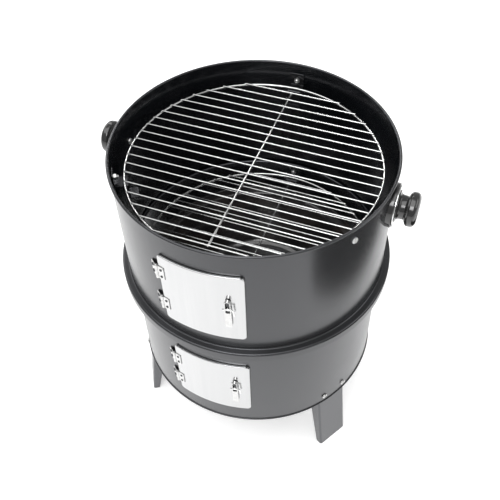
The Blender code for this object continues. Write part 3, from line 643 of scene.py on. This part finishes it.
def threaded(radius, low, high, pitch):
    # a shank whose radius follows a ridge wound round it: r = radius - depth * ridge(z / pitch - turn)
    rows = max(8, int((high - low) / pitch * 7))
    z = np.linspace(low, high, rows)[:, None]
    turn = np.linspace(0.0, 2.0 * np.pi, 20, endpoint=False)[None, :]
    ridge = np.abs(((z / pitch - turn / (2.0 * np.pi)) % 1.0) - 0.5) * 2.0
    size = radius - bolt["threadDepth"] * ridge
    blunt = bolt["chamfer"]
    size = np.where((z < low + blunt) | (z > high - 1e-9), radius - blunt, size)
    grid = np.stack([size * np.cos(turn), size * np.sin(turn), z + 0.0 * turn], -1)
    return loft(grid)


def hexNut():
    # height and radius round a hexagon, its corners turned down to a chamfer
    flats, height, bore, chamfer = (bolt[k] for k in ("nutFlats", "nutHeight", "nutBore", "chamfer"))
    turn = np.linspace(0.0, 2.0 * np.pi, 72, endpoint=False)
    corner = flats / 2.0 / np.cos((turn + np.pi / 6.0) % (np.pi / 3.0) - np.pi / 6.0)
    ring = flats / 2.0 * 0.97
    slope = np.maximum(corner - ring, 0.0) * 0.55
    rows = [(bore, chamfer), (bore + chamfer, 0.0), (ring, 0.0), (corner, slope),
            (corner, height - slope), (ring, height), (bore + chamfer, height), (bore, height - chamfer)]
    x, y = np.cos(turn), np.sin(turn)
    grid = np.stack([np.stack([r * x, r * y, h - height + 0.0 * turn], -1) for r, h in rows])
    return gridSurface(grid, wrapRows=True, wrapCols=True)


def boltSurfaces(length):
    b = bolt
    head = panHead(b["headRadius"], b["headHeight"], b["recess"])
    return [head, threaded(b["radius"], -length, 0.0002, b["pitch"])]


def makeFastener(name, node, body, matrix, surfaces):
    stands = [node] if node else []
    makePiece(name, [moved(s, matrix) for s in surfaces], finishes["zinc"], body, stands)


bracket = {"width": 0.020, "sheet": 0.002, "ledgeEnd": 0.1761, "drop": 0.0097, "step": 0.024, "ledge": 0.010,
           "tabRise": 0.009, "bend": 0.0016, "edge": 0.00025}
upright = Matrix(((0, 0, 1, 0), (-1, 0, 0, 0), (0, 1, 0, 0), (0, 0, 0, 1)))    # stands a side section up


def flatSeat(insideRadius, halfWidth):
    return math.sqrt((insideRadius * math.cos(math.pi / 48.0)) ** 2 - halfWidth ** 2) - gap


def makeSupports(level, body, outsideRadius, boltZ):
    k = bracket
    insideRadius = outsideRadius - barrel["sheet"]
    seat = flatSeat(insideRadius, k["width"] / 2.0)
    half = k["sheet"] / 2.0
    ledge, low = -k["drop"] - half, -k["drop"] - k["step"] - half
    middle = [(seat - half, k["tabRise"]), (seat - half, ledge), (k["ledgeEnd"] - half, ledge),
              (k["ledgeEnd"] - half, low), (k["ledgeEnd"] - k["sheet"] - k["ledge"], low)]
    section = sheetOutline(rounded(middle, k["bend"], 6), k["sheet"], 3)
    strip = extruded(section, -k["width"] / 2.0, k["width"] / 2.0)
    nutOut = seat - k["sheet"] - gap
    length = outsideRadius + gap - nutOut + bolt["nutHeight"] + bolt["pastNut"]
    for i, azimuth in enumerate(supportAzimuths, start=1):
        surface = moved(strip, facing(azimuth, 0.0, boltZ) @ upright)
        hole = boltCut(insideRadius, azimuth, boltZ)
        makePiece(f"{level}Bracket{i}", [surface], finishes["bracketPaintAndShade"], body, [f"{level}_bracket_{i}"],
                  cut=[hole], edge=k["edge"])
        makeFastener(f"{level}BracketBolt{i}", f"{level}_bracket_bolt_{i}", body,
                     radial(azimuth, outsideRadius + gap, boltZ), boltSurfaces(length))
        makeFastener(f"{level}BracketNut{i}", f"{level}_bracket_nut_{i}", body,
                     radial(azimuth, nutOut, boltZ), [hexNut()])


makeSupports("upper", "upper_section", barrel["upperRadius"], barrel["upperBoltZ"])
makeSupports("lower", "base", barrel["lowerRadius"], barrel["lowerBoltZ"])
print("brackets made")


leg = {"halfWidth": 0.028, "sheet": 0.0016, "splay": 0.0148, "flangeTop": 0.023, "flangeFoot": 0.011,
       "bendZ": 0.128, "soft": 0.004, "top": 0.172, "tab": 0.037, "tabDrop": 0.008, "tabBend": 0.002,
       "tabInset": 0.002, "bendRadius": 0.0028, "edge": 0.0002, "boltZ": barrel["legBoltZ"],
       "boltSide": barrel["legBoltSide"]}


def makeLegs():
    k = leg
    t = k["sheet"]
    face = flatSeat(barrel["lowerRadius"] - barrel["sheet"], k["halfWidth"])
    # levels from the foot up: the bend is spread over a short arc
    levels = np.concatenate([[0.0], np.linspace(0.02, k["bendZ"] - 0.008, 6),
                             np.linspace(k["bendZ"] - 0.006, k["bendZ"] + 0.004, 8), [k["top"]]])
    bend = np.clip(k["bendZ"] - levels, 0.0, None)
    soft = k["soft"]
    curve = (k["bendZ"] + soft - levels) ** 2 / (4.0 * soft)
    bend = np.where(np.abs(levels - k["bendZ"]) < soft, curve, bend)
    share = bend / k["bendZ"]
    outs = face + k["splay"] * share
    depths = k["flangeTop"] + (k["flangeFoot"] - k["flangeTop"]) * share
    rows = []
    for z, out, depth in zip(levels, outs, depths):
        w = k["halfWidth"] - t / 2.0
        middle = rounded([(-w, out - depth), (-w, out - t / 2.0), (w, out - t / 2.0), (w, out - depth)],
                         k["bendRadius"], 6)
        section = sheetOutline(middle, t, 3)
        rows.append(np.column_stack([section[:, 0], -section[:, 1], np.full(len(section), z)]))
    channel = loft(rows)
    tabHalf = k["halfWidth"] - t - k["tabInset"]
    tabPath = rounded([(face - t / 2.0, k["top"] - k["tabDrop"]), (face - t / 2.0, k["top"] - t / 2.0),
                       (face - k["tab"], k["top"] - t / 2.0)], k["tabBend"], 6)
    tab = extruded(sheetOutline(tabPath, t, 3), -tabHalf, tabHalf)
    near = k["boltSide"] - bolt["headRadius"]
    boltOut = math.sqrt(barrel["lowerRadius"] ** 2 - near ** 2) + gap
    length = boltOut - face + t + bolt["nutHeight"] + bolt["pastNut"]
    for i, azimuth in enumerate(supportAzimuths, start=1):
        place = facing(azimuth)
        surfaces = [moved(channel, place), moved(tab, place @ upright)]
        makePiece(f"leg{i}", surfaces, finishes["legPaint"], "base", [f"leg_{i}"],
                  edge=k["edge"])
        for letter, side in zip("ab", (-k["boltSide"], k["boltSide"])):
            makeFastener(f"leg{i}Bolt{letter}", f"leg_{i}_bolt_{letter}", "base",
                         radial(azimuth, boltOut, k["boltZ"], side), boltSurfaces(length))
            nutPlace = radial(azimuth, face - t - 0.0002, k["boltZ"], side)
            makeFastener(f"leg{i}Nut{letter}", None, "base", nutPlace, [hexNut()])


makeLegs()
print("legs made")


knob = {"z": barrel["knobZ"], "baseRadius": 0.031, "baseOut": 0.2032, "baseSide": 0.009, "baseEdge": 0.0018,
        "shieldRadius": 0.0292, "shieldSheet": 0.0012, "shieldFlat": 0.022,
        "bore": 0.0027, "boreDepth": 0.014, "screwReach": 0.013, "steps": 96,
        "head": 0.024, "waist": 0.0165, "foot": 0.0225, "length": 0.029}


def knobBase():
    # a disc with a rounded face, its back following the barrel's curve: depth = sqrt(R^2 - x^2) - out
    k = knob
    turn = np.linspace(0.0, 2.0 * np.pi, 96, endpoint=False)[:, None]
    corners = [(0.0, 0.0), (k["baseRadius"], 0.0), (k["baseRadius"], -k["baseSide"])]
    edge = rounded(corners, k["baseEdge"], 8)[:-1]
    inward = np.linspace(0.9, 0.0, 6) * k["baseRadius"]
    radii = np.concatenate([edge[:, 0], [k["baseRadius"], k["baseRadius"] - 0.0003], inward])[None, :]
    x, y = radii * np.cos(turn), radii * np.sin(turn)
    back = np.sqrt((barrel["upperRadius"] + gap) ** 2 - x ** 2) - k["baseOut"]
    heights = np.broadcast_to(np.concatenate([edge[:, 1], np.zeros(8)])[None, :], x.shape)
    onBack = np.arange(radii.shape[1])[None, :] >= len(edge)
    return gridSurface(np.stack([x, y, np.where(onBack, back, heights)], -1), wrapRows=True)


def knobProfile():
    k = knob
    head, waist, foot, long = k["head"], k["waist"], k["foot"], k["length"]
    corners = [(0.0, long), (0.80 * head, 0.975 * long), (head, 0.82 * long), (head, 0.57 * long),
               (0.90 * head, 0.47 * long), (waist, 0.385 * long), (waist + 0.0006, 0.05 * long),
               (foot, 0.035 * long), (foot, 0.0), (k["bore"], 0.0)]
    path = rounded(corners, [0.012, 0.0055, 0.0030, 0.0016, 0.0014, 0.0048, 0.0004, 0.0003], 10)
    return np.vstack([path, [(k["bore"], k["boreDepth"]), (0.0, k["boreDepth"])]])


def makeKnobs():
    k = knob
    shieldOut = k["baseOut"] + gap
    knobOut = shieldOut + k["shieldSheet"] + gap
    r, t = k["shieldRadius"], k["shieldSheet"]
    rim = rounded([(k["shieldFlat"], t), (r, t), (r, 0.0)], 0.0005, 4)
    dish = np.vstack([[(k["bore"], t)], rim, [(k["bore"], 0.0)]])
    screwIn = barrel["upperRadius"] - barrel["sheet"] * 1.5 - gap
    grip = revolve(knobProfile(), k["steps"], closed=False)
    body = "upper_section"
    parts = (("KnobBase", "_knob_base", knobBase(), k["baseOut"], "resin", "black_plastic"),
             ("KnobShield", "_knob_shield", revolve(dish, k["steps"]), shieldOut, "chrome", "chrome"),
             ("Knob", "_knob", grip, knobOut, "resin", "black_plastic"))
    for side, azimuth in (("left", 270.0), ("right", 90.0)):
        for name, node, surface, out, finish, slot in parts:
            placed = moved(surface, radial(azimuth, out, k["z"]))
            makePiece(side + name, [placed], finishes[finish], body, [side + node])
        inwards = radial(azimuth, screwIn, k["z"]) @ Matrix.Rotation(math.pi, 4, "X")
        screw = boltSurfaces(knobOut + k["screwReach"] - screwIn)
        makeFastener(side + "KnobScrew", side + "_knob_screw", body, inwards, screw)


makeKnobs()
print("knobs made")


door = {"halfWidth": 0.0593, "sheet": 0.0012, "depth": 0.003, "standoff": 0.001, "corner": 0.0058,
        "edgeRadius": 0.0013, "fold": 0.0006, "upper": (0.369, 0.5005), "lower": (0.171, 0.291),
        "hingeInset": 0.033, "pinProud": 0.0009, "rings": 22}
hinge = {"height": 0.025, "leafWidth": 0.0095, "sheet": 0.001, "knuckle": 0.0023, "pin": 0.00105,
         "corner": 0.002, "play": 0.0002, "edge": 0.00016, "screw": (0.0026, 0.0014, 0.0007),
         "rivet": (0.0021, 0.0011, 0.0), "screwShare": 0.56, "rivetShare": 0.52, "screwRise": 0.0065}
latch = {"inset": 0.0213, "rise": 0.007, "width": 0.0095, "topWidth": 0.0076, "depth": 0.0048,
         "endDepth": 0.0026, "above": 0.0165, "below": 0.0400, "sheet": 0.001, "play": 0.003, "lift": 0.0012,
         "edge": 0.00022, "windowLow": -0.0080, "windowRim": 0.0008, "rod": 0.0013, "coil": 0.0031,
         "coilWire": 0.00035, "spindle": 0.0024, "spindleEdge": 0.00018, "tongue": 0.026,
         "tongueWidth": 0.009, "tongueSheet": 0.0015}


def onBarrel(side, height, out):
    # a flat (side, height) point at this distance out, bent round the barrel's axis and keeping its side
    return np.stack([side, -np.sqrt(out ** 2 - side ** 2), height], -1)


def panSurface(low, high, backRadius):
    # rings of one rounded rectangle: growing over the face, round the folded edge, and shrinking inside
    k = door
    face, inside = backRadius + k["depth"], backRadius + k["depth"] - k["sheet"]
    centre = (low + high) / 2.0
    corners = [(-k["halfWidth"], low), (k["halfWidth"], low), (k["halfWidth"], high), (-k["halfWidth"], high)]
    edge = arc(0.0, 0.0, k["edgeRadius"], 90.0, 0.0, 6)
    rings = [(shrink, 0.0, face) for shrink in np.linspace(0.0, 1.0, k["rings"])[:-1]]
    rings += [(1.0, k["edgeRadius"] - e[0], face - k["edgeRadius"] + e[1]) for e in edge]
    rings += [(1.0, 0.0, backRadius), (1.0, k["sheet"], backRadius), (1.0, k["sheet"], inside - k["fold"]),
              (1.0, k["sheet"] + k["fold"], inside)]
    rings += [(shrink, k["sheet"] + k["fold"], inside) for shrink in np.linspace(1.0, 0.0, k["rings"])[1:]]
    rows = []
    for shrink, inset, out in rings:
        half, tall = k["halfWidth"] - inset, (high - low) / 2.0 - inset
        square = [(-half, -tall), (half, -tall), (half, tall), (-half, tall)]
        loop = denseLoop(roundedLoop(square, max(k["corner"] - inset, 0.002), 8)) * [shrink, shrink]
        rows.append(onBarrel(loop[:, 0], loop[:, 1] + centre, out))
    return gridSurface(np.array(rows), wrapCols=True)


def denseLoop(loop, runs=14):
    # the same closed outline with each long straight side split into equal runs
    after = np.roll(loop, -1, 0)
    parts = []
    for a, b in zip(loop, after):
        count = runs if np.linalg.norm(b - a) > 0.02 else 1
        parts.append(a + (b - a) * (np.arange(count) / count)[:, None])
    return np.vstack(parts)


def leafPlate(start, end, width):
    # a flat plate between two plan points, as tall as the hinge, with rounded outer corners
    start, end = np.asarray(start, float), np.asarray(end, float)
    long = np.linalg.norm(end - start)
    along, half = (end - start) / long, hinge["height"] / 2.0
    corners = [(0.0, -half), (long, -half), (long, half), (0.0, half)]
    outline = np.vstack([corners[:1], rounded(corners, hinge["corner"], 6)[1:-1], corners[-1:]])
    across = np.array([-along[1], along[0]])
    rows = []
    for lift in (-width / 2.0, width / 2.0):
        plan = start + outline[:, :1] * along + across * lift
        rows.append(np.column_stack([plan, outline[:, 1]]))
    return loft(rows)


def knuckleRing(low, high):
    # a rolled tube about the pin with a fine open seam on its inner side
    h = hinge
    path = arc(0.0, 0.0, h["knuckle"] - h["sheet"] / 2.0, 100.0, 436.0, 34)
    return extruded(sheetOutline(path, h["sheet"], 3), low, high)


def makeHinge(level, index, place, doorBody, wallBody, toWall):
    h = hinge
    third, play, half = h["height"] / 6.0, h["play"], h["height"] / 2.0
    far = h["knuckle"] + gap + h["leafWidth"]
    fall = barrel["upperRadius"] - math.sqrt(barrel["upperRadius"] ** 2 - far ** 2)
    mid = h["sheet"] / 2.0
    lift = door["pinProud"] - gap - 0.0001
    doorStart = (h["knuckle"] + gap, lift - mid + fall * 0.2)
    doorEnd = (far, lift + fall - mid)
    wallStart = (-h["knuckle"] - gap, door["pinProud"] - mid)
    wallEnd = (-far, toWall + fall - gap - 0.0001 - mid)
    screw, rivet = panHead(*h["screw"]), panHead(*h["rivet"])

    def onPlate(start, end, share, z, head):
        start, end = np.asarray(start), np.asarray(end)
        along = unit(end - start)
        out = np.array([along[1], -along[0]])
        out = out if out[1] < 0.0 else -out
        spot = start + (end - start) * share + out * mid
        turn = Matrix(((-out[1], 0.0, out[0], spot[0]), (out[0], 0.0, out[1], spot[1]),
                       (0.0, 1.0, 0.0, z), (0.0, 0.0, 0.0, 1.0)))
        return moved(head, turn)

    doorParts = [leafPlate(doorStart, doorEnd, h["sheet"]), knuckleRing(-third + play, third - play),
                 leafPlateBand((0.0012, lift - mid), doorStart, -third + play, third - play)]
    rows = (-h["screwRise"], h["screwRise"])
    doorScrews = [onPlate(doorStart, doorEnd, h["rivetShare"], z, rivet) for z in rows]
    wallParts = [leafPlate(wallStart, wallEnd, h["sheet"])]
    for low, high in ((-half, -third - play), (third + play, half)):
        wallParts += [knuckleRing(low, high), leafPlateBand((-0.0012, 0.0002), wallStart, low, high)]
    wallScrews = [onPlate(wallStart, wallEnd, h["screwShare"], z, screw) for z in rows]
    crown = arc(0.0007, half + 0.0003, 0.0009, 80.0, 0.0, 6)
    shank = [(h["pin"], half + 0.0003), (h["pin"], -half - 0.0007), (h["pin"] - 0.0004, -half - 0.001),
             (0.0, -half - 0.001)]
    pin = revolve(np.vstack([[(0.0, half + 0.0012)], crown, shank]), 24, closed=False)
    pieces = (("DoorLeaf", "_door_leaf_", doorParts, "zinc", doorBody, h["edge"]),
              ("WallLeaf", "_wall_leaf_", wallParts, "zinc", wallBody, h["edge"]),
              ("HingePin", "_hinge_pin_", [pin], "zinc", wallBody, 0.0),
              ("DoorScrews", None, doorScrews, "darkSteelAndShade", doorBody, 0.0),
              ("WallScrews", None, wallScrews, "darkSteelAndShade", wallBody, 0.0))
    for name, node, parts, finish, body, edge in pieces:
        stands = [f"{level}{node}{index}"] if node else []
        surfaces = [moved(s, place) for s in parts]
        makePiece(f"{level}{name}{index}", surfaces, finishes[finish], body, stands, edge=edge)


def leafPlateBand(start, end, low, high):
    # the short strip that joins a plate to its knuckle
    path = np.array([start, end], float)
    return extruded(sheetOutline(path, hinge["sheet"], 2), low, high)


def leverOutline(inset):
    # half a round arch on top, widening to a blunt lower end with small corners
    k = latch
    top, half = k["topWidth"] / 2.0 - inset, k["width"] / 2.0 - inset
    arch = arc(0.0, k["above"] - k["topWidth"] / 2.0, top, 0.0, 180.0, 21)
    low = inset - k["below"]
    foot = rounded([arch[-1], (-half, low), (half, low), arch[0]], 0.0021 - inset, 6)
    return np.vstack([arch, foot[1:-1]])


def leverSurface():
    # a pressed cover, open at the back: walls round the edge, and a front that slopes towards the door
    k = latch
    outer, inner = leverOutline(0.0), leverOutline(k["sheet"])

    def front(loop, thickness):
        share = (k["above"] - loop[:, 1]) / (k["above"] + k["below"])
        return np.column_stack([loop, k["depth"] + (k["endDepth"] - k["depth"]) * share - thickness])

    def back(loop):
        return np.column_stack([loop, np.zeros(len(loop))])

    return loft([front(inner, k["sheet"]), back(inner), back(outer), front(outer, 0.0)])


def leverWindow():
    # the slot in the lever's front, round at the top
    k = latch
    half = k["topWidth"] / 2.0 - k["windowRim"]
    arch = arc(0.0, k["above"] - k["topWidth"] / 2.0, half, 0.0, 180.0, 17)
    low = rounded([arch[-1], (-half, k["windowLow"]), (half, k["windowLow"]), arch[0]], 0.0016, 5)
    return extruded(np.vstack([arch, low[1:-1]]), k["sheet"] * 1.2, k["depth"] + 0.002)


def latchPin():
    # a rod across the lever, slightly arched, its right end bent down beside the lever
    z = latch["depth"] - 0.0002
    path = rounded([(-0.0076, -0.0006, z - 0.0008), (0.0, 0.0014, z), (0.0070, 0.0002, z - 0.0005),
                    (0.0082, -0.0135, z - 0.0016)], [0.012, 0.0014], 8)
    return [tube(path, latch["rod"], 12)]


def latchSpringAndShadeSheet():
    # the dark parts seen through the window: a cup washer, a coil spring, and a near-black sheet behind them
    # that is painted shade
    k = latch
    turn = np.linspace(0.0, 5.0 * np.pi, 90)
    rise = np.linspace(-0.0008, 0.0010, 90)
    coil = np.stack([k["coil"] * np.cos(turn), k["coil"] * np.sin(turn), rise], -1)
    seat = revolve(np.array([(0.0027, -0.0002), (0.0044, -0.0002), (0.0047, -0.0005), (0.0047, -0.0009),
                             (0.0027, -0.0009)]), 40)
    # painted shade: a near-black sheet shaped like the window fills it, standing in for the dark inside the
    # lever
    half = k["topWidth"] / 2.0 - k["sheet"] - 0.0003
    arch = arc(0.0, k["above"] - k["topWidth"] / 2.0, half, 0.0, 180.0, 17)
    low = k["windowLow"] - 0.001
    shadeSheet = extruded(np.vstack([arch, [(-half, low), (half, low)]]), 0.0013, 0.0021)
    return [tube(coil, k["coilWire"], 8), seat, shadeSheet]


def spindleSurfaces(inner, outer, tongueFace):
    k = latch
    nose = arc(k["spindle"] - 0.0007, outer - 0.0007, 0.0007, 90.0, 0.0, 5)
    root = [(k["spindle"], inner + 0.0003), (k["spindle"] - 0.0003, inner), (0.0, inner)]
    shaft = revolve(np.vstack([[(0.0, outer)], nose, root]), 32, closed=False)
    half = k["tongueWidth"] / 2.0
    outline = np.vstack([arc(0.0, 0.0, half, 0.0, 180.0, 13),
                         arc(0.0, -k["tongue"] + half, half, 180.0, 360.0, 13)])
    return [shaft, extruded(outline, tongueFace - k["tongueSheet"], tongueFace)]


def makeDoor(level, doorBody, latchBody, wallBody, wallRadius):
    k = door
    low, high = k[level]
    back = wallRadius + k["standoff"]
    face = back + k["depth"]
    lockZ = (low + high) / 2.0 + latch["rise"]
    lockAzimuth = math.degrees(math.asin((k["halfWidth"] - latch["inset"]) / face))
    hole = boltCut(face, lockAzimuth, lockZ)
    makePiece(level + "Door", [panSurface(low, high, back)], finishes["door"], doorBody, [level + "_door"],
              cut=[hole])
    pinOut = face + k["pinProud"]
    pinAzimuth = -math.degrees(math.asin((k["halfWidth"] + hinge["knuckle"] + gap) / pinOut))
    toWall = k["pinProud"] + k["depth"] + k["standoff"]
    for index, z in enumerate((high - k["hingeInset"], low + k["hingeInset"]), start=1):
        makeHinge(level, index, facing(pinAzimuth, pinOut, z), doorBody, wallBody, toWall)
    leverPlace = radial(lockAzimuth, face + latch["lift"], lockZ)
    inside = wallRadius - barrel["sheet"]
    reach = math.hypot(latch["tongue"], latch["tongueWidth"] / 2.0)
    tip = math.sqrt((inside * math.cos(math.pi / 48.0) - latch["play"]) ** 2 - reach ** 2)
    top = latch["lift"] + latch["depth"] - 0.001
    spindle = spindleSurfaces(tip - latch["tongueSheet"] - face, top, tip - face)
    window = moved(leverWindow(), leverPlace)
    spindlePlace = radial(lockAzimuth, face, lockZ)
    pieces = (("LatchLever", "_latch_lever", [leverSurface()], leverPlace, "zinc", [window], latch["edge"]),
              ("LatchPin", None, latchPin(), leverPlace, "chrome", None, 0.0),
              ("LatchSpringAndShadeSheet", None, latchSpringAndShadeSheet(), leverPlace, "darkSteelAndShade", None, 0.0),
              ("LatchSpindle", "_latch_spindle", spindle, spindlePlace, "zinc", None, latch["spindleEdge"]))
    for name, node, parts, place, finish, cut, edge in pieces:
        surfaces = [moved(s, place) for s in parts]
        stands = [level + node] if node else []
        makePiece(level + name, surfaces, finishes[finish], latchBody, stands, cut=cut, edge=edge)


makeDoor("upper", "upper_door", "upper_latch", "upper_section", barrel["upperRadius"])
makeDoor("lower", "lower_door", "lower_latch", "base", barrel["lowerRadius"])
print("doors made")


studio = {"sky": 0.42, "floor": 0.86, "glow": 0.50, "floorSize": 14.0}
boxes = {
    "overheadBox": {"spot": (-0.5, -0.6, 3.2), "aim": (0.0, 0.0, 0.2), "size": (3.0, 3.0), "power": 62.0},
    "backBox": {"spot": (-0.55, 1.45, 1.95), "aim": (0.0, 0.0, 0.25), "size": (0.62, 0.16), "power": 4.5},
    "leftFloor": {"spot": (-1.3, 0.6, 1.0), "aim": (-1.1, 0.55, 0.0), "size": (1.2, 1.2), "power": 9.0},
    "frontBox": {"spot": (0.12, -1.25, 1.95), "aim": (0.15, 0.0, 0.49), "size": (0.80, 0.70), "power": 10.0},
    "rightFloor": {"spot": (1.5, 0.3, 1.0), "aim": (1.3, 0.25, 0.0), "size": (0.9, 1.4), "power": 7.0},
}
flag = {"azimuth": 86.5, "out": 0.34, "z": 0.290, "width": 0.40, "height": 0.20}


def softBox(name, spot, aim, size, power):
    light = bpy.data.lights.new(name, "AREA")
    light.shape = "RECTANGLE"
    light.size, light.size_y = size
    light.energy = power
    lamp = bpy.data.objects.new(name, light)
    bpy.context.scene.collection.objects.link(lamp)
    lamp.location = spot
    lamp.rotation_euler = (Vector(aim) - Vector(spot)).to_track_quat("-Z", "Y").to_euler()
    lamp.visible_camera = False


def flatSheet(width, depth):
    # two by two corners: one quad about the origin
    x, y = width / 2.0, depth / 2.0
    return gridSurface(np.array([[(-x, -y, 0.0), (x, -y, 0.0)], [(-x, y, 0.0), (x, y, 0.0)]]))


def makeFlag(azimuth, out, z, width, height):
    # a small black card beside the object, seen only in its gloss: it draws the dark band down the side
    mesh = rawMesh("flag", [moved(flatSheet(width, height), radial(azimuth, out, z))])
    cloth = Graph("flagCloth", Base_Color=grey(0.002), Roughness=1.0, Specular_IOR_Level=0.0)
    mesh.materials.append(cloth.material)
    card = bpy.data.objects.new("flag", mesh)
    bpy.context.scene.collection.objects.link(card)
    card.visible_camera = card.visible_diffuse = card.visible_shadow = False


def makeStudio():
    mesh = rawMesh("floor", [flatSheet(studio["floorSize"], studio["floorSize"])])
    if mesh.polygons[0].normal.z < 0.0:
        mesh.flip_normals()
    floor = bpy.data.objects.new("floor", mesh)
    bpy.context.scene.collection.objects.link(floor)
    glow = {"Emission_Color": grey(1.0), "Emission_Strength": studio["glow"]}
    g = Graph("floorPaper", Specular_IOR_Level=0.2, **glow)
    tone = studio["floor"]
    shade = g.blend(g.noise(3.0), grey(tone * 0.99), grey(tone * 1.01))
    mesh.materials.append(g.connect(Base_Color=shade, Roughness=0.75 + g.noise(40.0) * 0.1))
    makeFlag(**flag)
    world = bpy.data.worlds.new("studio")
    world.use_nodes = True
    world.node_tree.nodes["Background"].inputs["Color"].default_value = (1.0, 1.0, 1.0, 1.0)
    world.node_tree.nodes["Background"].inputs["Strength"].default_value = studio["sky"]
    bpy.context.scene.world = world
    for name, box in boxes.items():
        softBox(name, **box)
    bpy.context.scene.view_settings.view_transform = "Standard"


camera = {"distance": 0.738, "height": 1.178, "turn": 21.6, "yaw": -0.74, "down": 49.2, "roll": -2.07,
          "fieldOfView": 38.65}


def makeCamera():
    yaw, down, roll = (math.radians(camera[k]) for k in ("yaw", "down", "roll"))
    ahead = Vector((math.sin(yaw) * math.cos(down), math.cos(yaw) * math.cos(down), -math.sin(down)))
    right = Vector((math.cos(yaw), -math.sin(yaw), 0.0))
    above = right.cross(ahead)
    sideways = right * math.cos(roll) + above * math.sin(roll)
    upwards = above * math.cos(roll) - right * math.sin(roll)
    turn = Matrix.Rotation(math.radians(camera["turn"]), 3, "Z")
    pose = Matrix((turn @ sideways, turn @ upwards, turn @ -ahead)).transposed().to_4x4()
    pose.translation = turn @ Vector((0.0, -camera["distance"], camera["height"]))
    data = bpy.data.cameras.new("studioCamera")
    data.sensor_width = 36.0
    data.lens = 18.0 / math.tan(math.radians(camera["fieldOfView"]) / 2.0)
    made = bpy.data.objects.new("studioCamera", data)
    bpy.context.scene.collection.objects.link(made)
    made.matrix_world = pose
    bpy.context.scene.camera = made


makeStudio()
makeCamera()
print("studio made")
